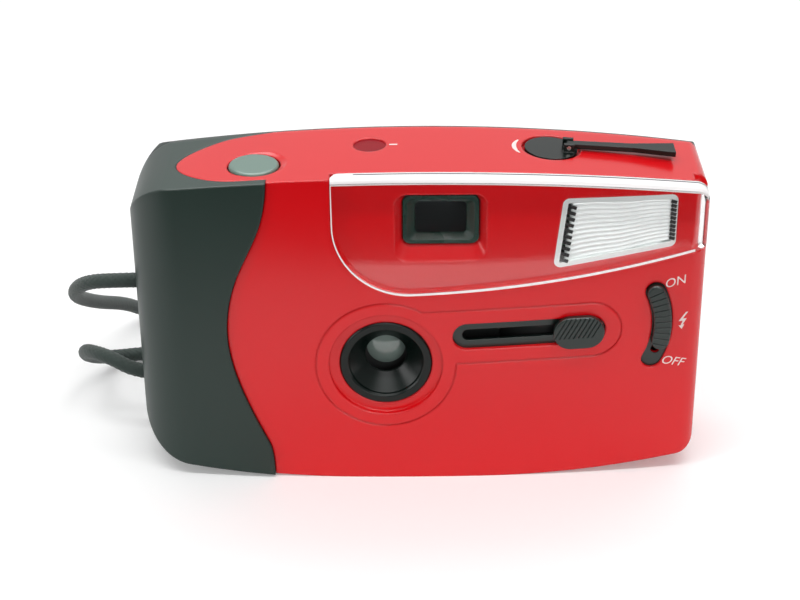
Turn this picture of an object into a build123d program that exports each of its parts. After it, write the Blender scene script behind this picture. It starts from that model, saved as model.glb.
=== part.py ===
import math

from build123d import *

# Compact 35 mm film camera with a fixed lens, a built-in flash and manual film winding.
# Millimetres. The origin is under the middle of the body, on the surface it stands on.
# +X is the viewer's right of the front, the front faces -Y, +Z is up.

# Body
body_width = 122.0
half_width = body_width / 2
front_y = -18.0
body_depth = 32.5
body_height = 72.7
top_arch = 4.25
base_arch = 4.5
base_flat = 28.0
front_bow = 3.3
wall = 1.8
front_left_radius = 12.0
rear_left_radius = 13.0
front_right_radius = 3.6
rear_right_radius = 5.0
top_left_radius = 12.0
bottom_left_radius = 12.0
top_right_radius = 3.5
bottom_right_radius = 5.0
rear_top_radius = 6.8
edge_radius = 0.8
seam_y = 9.0
seam_gap = 0.1
door_top_z = 48.8
sill_height = 3.8
door_gap = 0.3
tongue_low_z = 62.0
grip_proud = 0.7
grip_edge_x = 30.0 - half_width

# Front details, as (x, z) on the front face
lens_x, lens_z = -6.95, 28.6
lens_ring_radius = 9.95
lens_cone_radius = 7.9
lens_hole_radius = 4.5
dish_radius = 12.2
dish_depth = 1.3
panel_left_x = -18.0
panel_corner_radius = 16.2
panel_low_z = 45.6
panel_right_z = 54.9
panel_thickness = 2.0
panel_proud = 0.3
panel_floor = 1.25
panel_wrap_y = -8.0
finder_x = 4.8
finder_z = 62.0
finder_width, finder_height = 15.8, 11.0
finder_well_depth = 2.6
finder_sight_width, finder_sight_height = 10.6, 7.0
flash_left, flash_right = half_width - 31.8, half_width - 7.0
flash_slant = 1.8
flash_top_z = 67.1
flash_low_left_z, flash_low_right_z = 50.9, 55.2
slot_left_x, slot_right_x = 7.3, 40.0
slot_z = 35.3
slot_height = 6.4
slot_tilt = 2.2
knob_length = 11.0
knob_height = 7.6
switch_x, switch_z = half_width - 27.6, 37.0
switch_radius = 18.8
switch_width = 4.4
switch_slot_low, switch_slot_high = -33.0, 32.0
switch_knob_low, switch_knob_high = -17.0, 31.0
groove_width, groove_depth = 0.3, 0.25
outline_radius, outline_height, outline_right_x = 15.2, 13.2, 43.6

# Top details, as (x, y) on the top face
button_x, button_y = 26.9 - half_width, -7.6
button_radius = 5.3
scoop_sphere_radius, scoop_depth = 14.0, 1.35
counter_x, counter_y = -10.0, -0.6
counter_radius = 3.5
dial_x, dial_y = -16.4, 1.9
dial_radius = 8.6
crank_x, crank_y = half_width - 32.6, -0.9
crank_radius = 5.6
crank_thickness = 1.3
crank_rim_radius = 6.3
crank_shaft_radius = 1.6
lever_reach = 26.2
lever_width, lever_end_width = 1.8, 4.8

# Film path
film_y = 10.8
gate_width, gate_height = 36.0, 24.0
film_width = 35.0
cassette_radius = 12.5
cassette_room = 0.4
spool_x, spool_y = 16.6 - half_width, -3.2
spool_chamber_radius = 9.6
sprocket_x = 29.5 - half_width
sprocket_teeth = 8
perforation_pitch = 4.75
wheel_x = 15.5 - half_width
wheel_radius = 10.95
wheel_low_z, wheel_thickness = 51.8, 6.0
gear_module = 0.6
wheel_teeth, spool_teeth, idler_teeth, sprocket_gear_teeth = 16, 20, 14, 14
gear_low_z, gear_thickness = 49.1, 1.6

bay_floor_z, bay_top_z = 9.3, 47.5
bay_left_x, bay_right_x, bay_front_y = 6.3 - half_width, 34.4 - half_width, -12.6
chamber_wall = 0.6
deck_front_y, deck_top_z = -11.5, 51.3
battery_box_x, battery_box_y = half_width - 4.2, 8.3
shutter_seat_y = -3.2
shutter_x, shutter_z = (-24.0, 10.0), (18.0, 40.0)
rear_lens_radius = 4.3
spool_shaft_radius, sprocket_shaft_radius = 2.0, 1.5
idler_post_radius, wheel_post_radius, dial_post_radius = 1.2, 1.5, 1.2
pillars = ((8.0 - half_width, -4.5), (24.0 - half_width, -11.0), (22.6 - half_width, 3.2))
pillar_radius = 1.2
gear_plate_z, gear_plate_thickness = 50.95, 0.6
dial_z, dial_thickness = 68.7, 0.8

# Lens cover, flash switch, film plane and door
slot_sink = 1.0
stem_length, stem_height, knob_thickness = 9.0, 2.0, 1.2
arm_left_x, arm_y, arm_low_z, arm_high_z = 12.6, -15.05, 41.0, 43.0
wiper_y, switch_knob_thickness = -13.1, 1.8
plate_y, plate_thickness = 11.0, 0.8
latch_knob_x = half_width - 2.1
release_low_z, release_high_z, release_flange_z = 0.8, 6.0, 2.9

# Top mechanism
wheel_ribs, wheel_rib_radius = 36, 0.35
guide_radius, stem_radius, stem_low_z = 3.2, 1.8, 54.0
button_spring_z, button_cap_z = 62.0, 66.0
spool_core_radius, spool_flange_radius, flange_thickness = 5.0, 9.0, 0.8
spool_low_z, spool_high_z = 9.7, 47.1
perforation_gauge = 28.2
finger_radius = 2.4
ear_y, ear_thickness = 1.6, 0.8
lever_pin_u, lever_pin_w, lever_pin_radius = 3.6, 0.95, 0.45
lever_thickness = 1.1
fork_low_z = 48.6

# Optics
bezel_front_y, bezel_back_y = -17.1, -12.2
barrel_front_y, barrel_back_y, barrel_radius = -9.4, -4.9, 7.4
front_lens_radius = 4.2
shutter_front_y = -4.0
aperture_radius = 2.0
pivot_x, pivot_z, pivot_radius = -12.2, 31.8, 0.5
finder_front_y, finder_rear_y = -13.0, 10.5
tunnel_width, tunnel_height = 13.6, 10.2
eyepiece_proud = 1.4

# Flash and its circuit
flash_back_y, flash_cover_y, flash_rim = -11.8, -12.6, 1.1
flash_tube_y, flash_tube_z, flash_tube_radius = -10.15, 60.6, 1.4
reflector_width, reflector_height, reflector_back_y = 21.0, 9.6, -8.6
board_gap, transformer_gap = 4.4, 1.8
board_left_x = finder_x + tunnel_width / 2 + board_gap
board_right_x = half_width - 4.0
transformer_right_x = crank_x - crank_shaft_radius - transformer_gap
board_y, board_top_z = -5.5, 66.0
capacitor_radius, capacitor_y = 4.4, 3.8
battery_low_z, contact_thickness = 6.1, 0.4

# Moving pieces of the front
cover_travel = 20.0
blade_left_x, blade_right_x = -1.9, 17.6
blade_y, blade_thickness = -11.0, 0.5
blade_low_z, blade_high_z = 23.6, 34.0
blade_room_z = (22.0, 44.0)
switch_recess = 0.8
ridge_width, ridge_depth = 0.35, 0.25
knob_ridges, knob_ridge_pitch, knob_ridge_lean = 9, 1.0, 30.0
switch_ridges, switch_ridge_step = 10, 4.2
switch_swing = 15.0
stem_angle = 7.0
stem_width = 1.4
stem_play = 1.0
release_radius = 1.8
latch_travel = 3.0
latch_slot_y, latch_slot_z = (2.4, 5.6), (22.0, 36.0)

# Door, battery and base
door_left_x = 6.0 - half_width
hinge_x, hinge_y = 4.0 - half_width, 10.3
hinge_radius, hinge_pin_radius = 1.7, 0.75
hinge_low, hinge_high = 7.6, 48.4
hinge_inner_low, hinge_inner_high = 14.0, 40.0
battery_x, battery_y = half_width - 12.1, 0.0
battery_radius, battery_length = 7.25, 49.2
rest_x, rest_radius = half_width - 24.0, 3.0
rest_front_y, rest_rear_y = -9.0, 4.5

battery_hinge_gap = 0.65
battery_pin_radius = 0.5
battery_top_z, battery_box_z = 56.8, 57.4
contact_radius, contact_low_z, contact_high_z = 3.2, 4.9, 5.8
screw_x, screw_y = 9.0, -8.0
screw_radius, screw_head_radius, screw_sink, screw_length = 0.8, 1.7, 0.9, 6.0
hinge_room_radius = 2.0
tab_x, tab_z = (half_width - 3.9, half_width - 3.1), (29.5, 32.0)
tab_front_y, tab_foot = 4.2, 6.0
film_window_z, film_window_width, film_window_height = 29.0, 12.0, 22.0
eyepiece_width, eyepiece_height = 14.6, 9.4
lamp_x, lamp_radius = 15.6, 1.4

# Strap
strap_y = -0.5
strap_bar_x, strap_floor_x = 1.9 - half_width, 5.4 - half_width
strap_low_z, strap_high_z = 16.9, 40.6
strap_hole_height, strap_hole_width = 6.6, 5.4
cord_diameter = 3.3

# Sheet metal and moulded ribs
sheet = 0.6
rib = 1.0
fit = 0.05
clearance = 0.3

back_y = front_y + body_depth
corner_lift = 0.12


def front_at(x):
    return front_y + front_bow * (x / half_width) ** 2


def top_at(x):
    return body_height - top_arch * (x / half_width) ** 2


def round_corner(outline, point, radius):
    # Fillets the corner of the open sketch that lies nearest to the point.
    fillet(outline.vertices().sort_by_distance(Vector(*point))[0], radius)


def plan_outline(inset=0.0, proud=0.0):
    half = half_width - inset
    front = front_y + inset - proud
    back = back_y - inset
    with BuildSketch() as outline:
        with BuildLine():
            ThreePointArc((-half, front + front_bow), (0, front), (half, front + front_bow))
            Line((half, front + front_bow), (half, back))
            Line((half, back), (-half, back))
            Line((-half, back), (-half, front + front_bow))
        make_face()
        round_corner(outline, (-half, front + front_bow), max(front_left_radius - inset, edge_radius))
        round_corner(outline, (-half, back), max(rear_left_radius - inset, edge_radius))
        round_corner(outline, (half, front + front_bow), max(front_right_radius - inset, edge_radius))
        round_corner(outline, (half, back), max(rear_right_radius - inset, edge_radius))
    return outline.sketch


def corner_arc(x, z, radius, side):
    # A quarter turn from the side wall at x up to the level z.
    start, end = (x, z - radius), (x - side * radius, z)
    if side < 0:
        start, end = end, start
    return RadiusArc(start, end, -radius)


def elevation_outline(inset=0.0):
    # Its side walls stand a hair outside the plan's, so the two cross instead of touching.
    half = half_width - inset + corner_lift
    flat = base_flat / 2
    top = body_height + 10
    left_r, right_r = top_left_radius - inset, top_right_radius - inset
    left_top = top_at(half_width - top_left_radius) - inset + corner_lift
    right_top = top_at(half_width - top_right_radius) - inset + corner_lift
    with BuildSketch(Plane.XZ.offset(-body_depth)) as outline:
        with BuildLine():
            Line((-flat, inset), (flat, inset))
            TangentArc((flat, inset), (half, base_arch + inset), tangent=(1, 0))
            Line((half, base_arch + inset), (half, right_top - right_r))
            corner_arc(half, right_top, right_r, 1)
            Line((half - right_r, right_top), (half - right_r, top))
            Line((half - right_r, top), (left_r - half, top))
            Line((left_r - half, top), (left_r - half, left_top))
            corner_arc(-half, left_top, left_r, -1)
            Line((-half, left_top - left_r), (-half, base_arch + inset))
            TangentArc((-flat, inset), (-half, base_arch + inset), tangent=(-1, 0))
        make_face()
        round_corner(outline, (-half, base_arch + inset), bottom_left_radius - inset)
        round_corner(outline, (half, base_arch + inset), bottom_right_radius - inset)
    return outline.sketch


arch_radius = half_width**2 / (2 * top_arch) + top_arch / 2
arch_axis = Axis((0, 0, body_height - arch_radius), (0, 1, 0))
arch_half_angle = math.degrees(math.atan((half_width + 5) / (arch_radius - body_height)))


def arch_form(inset=0.0, drop=0.0, rear_radius=rear_top_radius):
    # A side profile turned about a far axis under the body, so the top is an even arch.
    lean = math.radians(arch_half_angle)
    plane = Plane(
        origin=arch_axis.position,
        x_dir=(0, 1, 0),
        z_dir=(math.cos(lean), 0, math.sin(lean)),
    )
    top = arch_radius - inset - drop
    low = arch_radius - body_height - 25
    back = back_y - inset
    with BuildPart() as form:
        with BuildSketch(plane) as profile:
            with BuildLine():
                Polyline(
                    (front_y - 8, low), (back, low), (back, top), (front_y - 8, top), close=True
                )
            make_face()
            if rear_radius:
                round_corner(profile, (back, top), rear_radius - inset)
        revolve(axis=arch_axis, revolution_arc=2 * arch_half_angle)
    return form.part


def body_form(inset=0.0, proud=0.0):
    plan = plan_outline(inset, proud)
    elevation = elevation_outline(inset)
    arch = arch_form(inset)
    with BuildPart() as form:
        extrude(plan, amount=body_height + 20)
        extrude(elevation, amount=body_depth * 2, mode=Mode.INTERSECT)
        add(arch, mode=Mode.INTERSECT)
    return form.part


def block(x, y, z, mode=Mode.ADD):
    # A cuboid between two limits on each axis.
    with Locations(((x[0] + x[1]) / 2, (y[0] + y[1]) / 2, (z[0] + z[1]) / 2)):
        Box(x[1] - x[0], y[1] - y[0], z[1] - z[0], mode=mode)


def lathe(profile, x, z, mode=Mode.ADD):
    # Turns (radius, y) points about the fore-and-aft axis through (x, z).
    with BuildSketch(Plane(origin=(x, 0, z), x_dir=(1, 0, 0), z_dir=(0, 0, 1))) as half:
        with BuildLine():
            Polyline(*profile, close=True)
        make_face()
    revolve(half.sketch, axis=Axis((x, 0, z), (0, 1, 0)), mode=mode)


def lathe_up(profile, x, y, mode=Mode.ADD):
    # Turns (radius, z) points about the upright axis through (x, y).
    with BuildSketch(Plane(origin=(x, y, 0), x_dir=(1, 0, 0), z_dir=(0, -1, 0))) as half:
        with BuildLine():
            Polyline(*profile, close=True)
        make_face()
    revolve(half.sketch, axis=Axis((x, y, 0), (0, 0, 1)), mode=mode)


def cylinder_up(x, y, radius, z, mode=Mode.ADD):
    with BuildSketch(Plane.XY.offset(z[0])) as disc:
        with Locations((x, y)):
            Circle(radius)
    extrude(disc.sketch, amount=z[1] - z[0], mode=mode)


def cylinder_back(x, z, radius, y, mode=Mode.ADD):
    # A round bar from y[0] back to y[1].
    with BuildSketch(Plane.XZ.offset(-y[1])) as disc:
        with Locations((x, z)):
            Circle(radius)
    extrude(disc.sketch, amount=y[1] - y[0], mode=mode)


def save(builder, name):
    builder.part.label = name
    export_step(builder.part, "parts/" + name + ".step")


def plan_prism(inset):
    # The whole plan of the body, tall enough to cut or trim with.
    plan = plan_outline(inset)
    with BuildPart() as prism:
        extrude(plan, amount=body_height + 20)
    return prism.part


def grip_side(shift):
    # The area left of the wavy edge where the dark grip meets the red front.
    with BuildSketch(Plane.XZ.offset(-body_depth)) as side:
        with BuildLine():
            edge = Spline(
                (grip_edge_x + shift, body_height + 2),
                (grip_edge_x - 1.9 + shift, 61.3),
                (grip_edge_x - 7.0 + shift, 49.6),
                (grip_edge_x - 9.6 + shift, 37.4),
                (grip_edge_x - 7.4 + shift, 23.2),
                (grip_edge_x - 2.3 + shift, 10.3),
                (grip_edge_x - 0.6 + shift, -2),
                tangents=((0, -1), (0, -1)),
            )
            reach = -half_width - 10
            Polyline(edge @ 1, (reach, -2), (reach, body_height + 2), edge @ 0)
        make_face()
    return side.sketch


def tongue(grow=0.0):
    # The red of the top face, as seen from above. Its left end runs out over the grip.
    with BuildSketch() as area:
        with BuildLine():
            tip = Spline(
                (grip_edge_x, -15.5 - grow),
                (grip_edge_x - 10.5, -14.3 - grow),
                (grip_edge_x - 19.6 - grow, -4.0),
                (grip_edge_x - 11.0, 5.6 + grow),
                (grip_edge_x + 1.0 - grow, seam_y),
                tangents=((-1, 0.05), (1, 0.25)),
            )
            Polyline(tip @ 1, (half_width + 5, seam_y), (half_width + 5, -25), (grip_edge_x, -25), tip @ 0)
        make_face()
    return area.sketch


def window_outline(grow=0.0):
    # The clear front panel: square at the top left, a round lower left corner, a rising base.
    left = panel_left_x
    corner_x = left + panel_corner_radius
    right = half_width + 5
    with BuildSketch(Plane.XZ.offset(-panel_wrap_y)) as area:
        with BuildLine():
            Line((left, body_height + 5), (left, panel_low_z + panel_corner_radius))
            RadiusArc(
                (left, panel_low_z + panel_corner_radius), (corner_x, panel_low_z), -panel_corner_radius
            )
            middle = ((corner_x + half_width) / 2, panel_low_z + (panel_right_z - panel_low_z) * 0.31)
            ThreePointArc((corner_x, panel_low_z), middle, (right, panel_right_z + 1))
            Polyline((right, panel_right_z + 1), (right, body_height + 5), (left, body_height + 5))
        make_face()
        if grow:
            offset(amount=grow, kind=Kind.ARC)
    return area.sketch


def flash_outline(grow, y):
    slant = flash_slant
    with BuildSketch(Plane.XZ.offset(-y)) as area:
        with BuildLine():
            Polyline(
                (flash_left + slant / 2, flash_top_z),
                (flash_right, flash_top_z),
                (flash_right, flash_low_right_z),
                (flash_left - slant / 2, flash_low_left_z),
                close=True,
            )
        make_face()
        fillet(area.vertices(), 1.4)
        if grow:
            offset(amount=grow, kind=Kind.ARC)
    return area.sketch


def switch_outline(low, high, width, y):
    # A banana shape round the switch's centre, between two angles above the +X line.
    half = width / 2
    end_gap = math.degrees(half / switch_radius)
    with BuildSketch(Plane.XZ.offset(-y)) as area:
        with BuildLine():
            path = CenterArc(
                (switch_x, switch_z), switch_radius, low + end_gap, high - low - 2 * end_gap
            )
        SlotArc(path, width)
    return area.sketch


def slot_outline(left, right, height, y):
    # A pill on the tilted line of the lens cover's slot.
    middle = (left + right) / 2
    rise = math.tan(math.radians(slot_tilt))
    lift = (middle - slot_left_x) * rise
    with BuildSketch(Plane.XZ.offset(-y)) as area:
        with Locations((middle, slot_z + lift)):
            SlotOverall(right - left, height, rotation=slot_tilt)
    return area.sketch


# Shared shapes
outer = body_form()
inner = body_form(wall)
wheel_y = spool_y + math.sqrt(
    (gear_module * (wheel_teeth + spool_teeth) / 2) ** 2 - (wheel_x - spool_x) ** 2
)
sprocket_radius = sprocket_teeth * perforation_pitch / (2 * math.pi)
sprocket_y = film_y - sprocket_radius
gate_z = lens_z
cassette_low_z = gate_z - 25.6

lip_depth = 3.5
lip_height = 1.5
floor_depth = panel_thickness - panel_proud
switch_floor_y = front_at(switch_x + switch_radius) + switch_recess
battery_door_x = (battery_x - battery_radius - 1, battery_x + battery_radius + 0.8)
battery_door_y = (battery_y - battery_radius - 0.4, battery_y + battery_radius + 0.2)
far = body_width
all_x = (-far, far)
all_y = (-far, far)
all_z = (-far, far)
bezel_seat_y = front_at(abs(lens_x) + lens_ring_radius + 0.4) + wall


def base_at(x):
    # The height of the arched underside.
    run = max(abs(x) - base_flat / 2, 0)
    reach = half_width + corner_lift - base_flat / 2
    return base_arch * (run / reach) ** 2


def panel_form(grow=0.0):
    # The room of the clear panel: a front sheet that wraps the right corner, with a lip on top.
    whole = body_form(-grow, panel_proud)
    outline = window_outline(grow)
    with BuildPart() as lip:
        extrude(outline, amount=far)
        add(whole, mode=Mode.INTERSECT)
        add(plan_prism(lip_depth - panel_proud), mode=Mode.SUBTRACT)
        add(arch_form(lip_height, rear_radius=0), mode=Mode.SUBTRACT)
    with BuildPart() as form:
        extrude(outline, amount=far)
        add(whole, mode=Mode.INTERSECT)
        add(plan_prism(floor_depth), mode=Mode.SUBTRACT)
        add(lip.part)
    return form.part


def door_zone(gap):
    # Where the back door may be: behind the seam and above the sill along the base.
    with BuildPart() as zone:
        add(Pos(0, 0, sill_height + wall + gap) * body_form(-wall))
        block(all_x, (-far, seam_y + gap), all_z, mode=Mode.SUBTRACT)
    return zone.part


crank_z = top_at(crank_x)
crank_tilt = math.degrees(math.asin(crank_x / arch_radius))
crank_plane = Plane(
    origin=(crank_x, crank_y, crank_z),
    x_dir=(math.cos(math.radians(crank_tilt)), 0, -math.sin(math.radians(crank_tilt))),
    z_dir=(math.sin(math.radians(crank_tilt)), 0, math.cos(math.radians(crank_tilt))),
)

with BuildPart() as crank_recess:
    # The round bed of the crank, square to the arched top, and the hole of its shaft.
    with BuildSketch(crank_plane.offset(-crank_thickness)):
        Circle(crank_rim_radius)
    extrude(amount=far)
    with BuildSketch(crank_plane.offset(-4 * wall)):
        Circle(crank_shaft_radius + fit)
    extrude(amount=far)

cassette_x = crank_x - (crank_z - deck_top_z) * math.tan(math.radians(crank_tilt))
cassette_left_x = cassette_x - cassette_radius - cassette_room
cassette_right_x = cassette_x + cassette_radius + cassette_room
wheel_gear_room = gear_module * (wheel_teeth / 2 + 1) + clearance
gear_plate_span = (gear_plate_z, gear_plate_z + gear_plate_thickness)
lever_pin_plane = Plane(
    origin=crank_plane.from_local_coords(Vector(lever_pin_u, 0, lever_pin_w)),
    x_dir=crank_plane.x_dir,
    z_dir=crank_plane.y_dir,
)
battery_hinge_x = battery_door_x[0] + battery_hinge_gap + 0.45
battery_hinge_z = base_at(battery_hinge_x) + wall / 2
battery_pin_y = (
    (battery_door_y[0] - 0.7, battery_door_y[0] + clearance + 0.2),
    (battery_door_y[1] - clearance - 0.2, battery_door_y[1] + 0.7),
)
hinge_inner_z = (hinge_inner_low, hinge_inner_high)
hinge_door_z = (hinge_inner_low + clearance, hinge_inner_high - clearance)
hinge_outer_z = ((hinge_low, hinge_inner_low), (hinge_inner_high, hinge_high))

# The idler stands where it meshes with both the spool's gear and the sprocket's.
spool_to_sprocket = math.hypot(sprocket_x - spool_x, sprocket_y - spool_y)
spool_to_idler = gear_module * (spool_teeth + idler_teeth) / 2
idler_to_sprocket = gear_module * (idler_teeth + sprocket_gear_teeth) / 2
idler_along = (spool_to_sprocket**2 + spool_to_idler**2 - idler_to_sprocket**2) / (
    2 * spool_to_sprocket
)
idler_aside = math.sqrt(spool_to_idler**2 - idler_along**2)
line_x = (sprocket_x - spool_x) / spool_to_sprocket
line_y = (sprocket_y - spool_y) / spool_to_sprocket
idler_x = spool_x + idler_along * line_x + idler_aside * line_y
idler_y = spool_y + idler_along * line_y - idler_aside * line_x
# Casing
panel_room = panel_form(fit)
well_front_y = front_y + floor_depth - fit
well_back_y = well_front_y + finder_well_depth

with BuildPart() as grip_zone:
    # Everything left of the wavy edge, apart from the red tongue of the top.
    extrude(grip_side(0), amount=far)
    with BuildSketch(Plane.XY.offset(tongue_low_z)):
        add(tongue())
    extrude(amount=far, mode=Mode.SUBTRACT)

with BuildPart() as panel_backing:
    # The red wall behind the clear panel.
    extrude(window_outline(wall), amount=far)
    add(plan_prism(floor_depth), mode=Mode.INTERSECT)
    add(plan_prism(floor_depth + panel_floor), mode=Mode.SUBTRACT)
    add(outer, mode=Mode.INTERSECT)

with BuildPart() as lip_backing:
    # The top wall steps down under the lip of the panel.
    extrude(window_outline(wall), amount=far)
    add(outer, mode=Mode.INTERSECT)
    add(plan_prism(lip_depth + wall), mode=Mode.SUBTRACT)
    add(arch_form(lip_height + wall, rear_radius=0), mode=Mode.SUBTRACT)

with BuildPart() as finder_well:
    # The sloping red well round the viewfinder.
    with BuildSketch(Plane.XZ.offset(-well_front_y)):
        with Locations((finder_x, finder_z - 1.2)):
            RectangleRounded(finder_width + 3.6, finder_height + 4.6, 2.6)
    with BuildSketch(Plane.XZ.offset(-well_back_y)):
        with Locations((finder_x, finder_z)):
            RectangleRounded(finder_width, finder_height, 1.6)
    loft()

with BuildPart() as finder_cup:
    # The wall round that well.
    with BuildSketch(Plane.XZ.offset(-well_front_y - panel_floor / 2)):
        with Locations((finder_x, finder_z - 1.2)):
            RectangleRounded(finder_width + 5.6, finder_height + 6.6, 3.4)
    with BuildSketch(Plane.XZ.offset(-well_back_y)):
        with Locations((finder_x, finder_z)):
            RectangleRounded(finder_width + 2.2, finder_height + 2.2, 2.4)
    loft()
    add(outer, mode=Mode.INTERSECT)

with BuildPart() as outline_ring:
    # The fine groove that runs round the lens and the slot together.
    with BuildSketch(Plane.XZ) as outline_area:
        with Locations((lens_x, lens_z)):
            Circle(outline_radius)
        add(slot_outline(slot_left_x - outline_radius, outline_right_x, outline_height, 0))
        fillet(outline_area.vertices().filter_by(lambda corner: corner.Z > slot_z), 8)
    extrude(outline_area.sketch, amount=far)
    extrude(offset(outline_area.sketch, -groove_width), amount=far, mode=Mode.SUBTRACT)
    add(outer, mode=Mode.INTERSECT)
    add(plan_prism(groove_depth), mode=Mode.SUBTRACT)

with BuildPart() as front_cover:
    add(outer)
    add(inner, mode=Mode.SUBTRACT)
    add(lip_backing.part)
    add(panel_backing.part)
    add(finder_cup.part)
    add(panel_room, mode=Mode.SUBTRACT)
    add(finder_well.part, mode=Mode.SUBTRACT)
    extrude(flash_outline(0, 0), amount=far, mode=Mode.SUBTRACT)
    cylinder_back(lens_x, lens_z, dish_radius, (-far, front_y + dish_depth), mode=Mode.SUBTRACT)
    cylinder_back(lens_x, lens_z, lens_ring_radius, (-far, 0), mode=Mode.SUBTRACT)
    extrude(
        slot_outline(slot_left_x, slot_right_x, slot_height, 0), amount=far, mode=Mode.SUBTRACT
    )
    extrude(
        switch_outline(switch_slot_low, switch_slot_high, switch_width, switch_floor_y),
        amount=far,
        mode=Mode.SUBTRACT,
    )
    extrude(
        switch_outline(
            -stem_angle - switch_swing - stem_play,
            stem_angle + stem_play,
            stem_width + 2 * clearance,
            0,
        ),
        amount=far,
        mode=Mode.SUBTRACT,
    )
    block(battery_door_x, battery_door_y, (-far, battery_x), mode=Mode.SUBTRACT)
    block((half_width - 2 * wall, far), latch_slot_y, latch_slot_z, mode=Mode.SUBTRACT)
    cylinder_up(button_x, button_y, button_radius + clearance, (body_height / 2, far), mode=Mode.SUBTRACT)
    cylinder_up(counter_x, counter_y, counter_radius, (body_height / 2, far), mode=Mode.SUBTRACT)
    add(crank_recess.part, mode=Mode.SUBTRACT)
    with Locations((button_x, button_y, top_at(button_x) + scoop_sphere_radius - scoop_depth)):
        Sphere(scoop_sphere_radius, mode=Mode.SUBTRACT)
    add(grip_zone.part, mode=Mode.SUBTRACT)
    add(door_zone(0), mode=Mode.SUBTRACT)
    add(outline_ring.part, mode=Mode.SUBTRACT)
    release_hole_z = (-far, body_height / 2)
    cylinder_up(
        sprocket_x, sprocket_y, release_radius + clearance, release_hole_z, mode=Mode.SUBTRACT
    )
    for y in (rest_front_y, rest_rear_y):
        cylinder_up(rest_x, y, rest_radius, (0, base_at(rest_x) + wall / 2))
    for x in (-screw_x, screw_x):
        cylinder_up(x, screw_y, screw_radius, (-far, wall + fit), mode=Mode.SUBTRACT)
        cylinder_up(x, screw_y, screw_head_radius, (-far, screw_sink), mode=Mode.SUBTRACT)
    for y in battery_pin_y:
        cylinder_back(battery_hinge_x, battery_hinge_z, battery_pin_radius + fit, y, mode=Mode.SUBTRACT)
save(front_cover, "front_cover")

with BuildPart() as window_panel:
    add(panel_form())
save(window_panel, "window_panel")

with BuildPart() as door_room:
    # The grip ends at the hinge of the back door.
    add(door_zone(0))
    block((-far, hinge_x), all_y, all_z, mode=Mode.SUBTRACT)

with BuildPart() as grip_cover:
    add(body_form(0, grip_proud))
    add(inner, mode=Mode.SUBTRACT)
    extrude(grip_side(-seam_gap), amount=far, mode=Mode.INTERSECT)
    with BuildSketch(Plane.XY.offset(tongue_low_z)):
        add(tongue(seam_gap))
    extrude(amount=far, mode=Mode.SUBTRACT)
    add(door_room.part, mode=Mode.SUBTRACT)
    block(all_x, (seam_y, far), (door_top_z, far), mode=Mode.SUBTRACT)
    cylinder_up(hinge_x, hinge_y, hinge_room_radius, hinge_inner_z, mode=Mode.SUBTRACT)
    for z in hinge_outer_z:
        cylinder_up(hinge_x, hinge_y, hinge_radius, z)
    cylinder_up(hinge_x, hinge_y, hinge_pin_radius, (hinge_low, hinge_high), mode=Mode.SUBTRACT)
    # The strap passes through two openings, behind a bar.
    block(
        (-half_width + edge_radius, strap_floor_x + rib * 0.7),
        (strap_y - strap_hole_width / 2 - rib, strap_y + strap_hole_width / 2 + rib),
        (strap_low_z - strap_hole_height / 2 - rib, strap_high_z + strap_hole_height / 2 + rib),
    )
    block(
        (strap_bar_x, strap_floor_x),
        (strap_y - strap_hole_width / 2, strap_y + strap_hole_width / 2),
        (strap_low_z - strap_hole_height / 2, strap_high_z + strap_hole_height / 2),
        mode=Mode.SUBTRACT,
    )
    for z in (strap_low_z, strap_high_z):
        block(
            (-far, strap_floor_x),
            (strap_y - strap_hole_width / 2, strap_y + strap_hole_width / 2),
            (z - strap_hole_height / 2, z + strap_hole_height / 2),
            mode=Mode.SUBTRACT,
        )
    cylinder_up(
        sprocket_x, sprocket_y, release_radius + clearance, (-far, body_height / 2), mode=Mode.SUBTRACT
    )
    for y in (rest_front_y, rest_rear_y):
        cylinder_up(-rest_x, y, rest_radius, (0, base_at(rest_x) + wall / 2))
save(grip_cover, "grip_cover")

with BuildPart() as rear_cover:
    add(outer)
    add(inner, mode=Mode.SUBTRACT)
    block(all_x, (-far, seam_y), all_z, mode=Mode.SUBTRACT)
    block(all_x, all_y, (-far, door_top_z), mode=Mode.SUBTRACT)
    cylinder_up(
        wheel_x,
        wheel_y,
        wheel_radius + 2 * clearance,
        (wheel_low_z - 1, wheel_low_z + wheel_thickness + 2 * clearance),
        mode=Mode.SUBTRACT,
    )
    block(
        (finder_x - eyepiece_width / 2, finder_x + eyepiece_width / 2),
        (seam_y, far),
        (finder_z - eyepiece_height / 2, finder_z + eyepiece_height / 2),
        mode=Mode.SUBTRACT,
    )
    cylinder_back(lamp_x, finder_z, lamp_radius, (seam_y, far), mode=Mode.SUBTRACT)
    cylinder_up(wheel_x, wheel_y, wheel_gear_room, (0, wheel_low_z), mode=Mode.SUBTRACT)
save(rear_cover, "rear_cover")

with BuildPart() as back_door:
    add(outer)
    add(inner, mode=Mode.SUBTRACT)
    add(door_zone(door_gap), mode=Mode.INTERSECT)
    block(all_x, all_y, (door_top_z - door_gap, far), mode=Mode.SUBTRACT)
    block((-far, door_left_x), all_y, all_z, mode=Mode.SUBTRACT)
    with BuildSketch(Plane.XZ.offset(-back_y - 1)):
        with Locations((cassette_x, film_window_z)):
            RectangleRounded(film_window_width, film_window_height, 3)
    extrude(amount=wall * 2, mode=Mode.SUBTRACT)
    # The arm of the hinge
    cylinder_up(hinge_x, hinge_y, hinge_radius, hinge_door_z)
    block((hinge_x, door_left_x + wall), (hinge_y, hinge_y + hinge_radius), hinge_door_z)
    cylinder_up(hinge_x, hinge_y, hinge_pin_radius + fit, all_z, mode=Mode.SUBTRACT)
save(back_door, "back_door")

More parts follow.
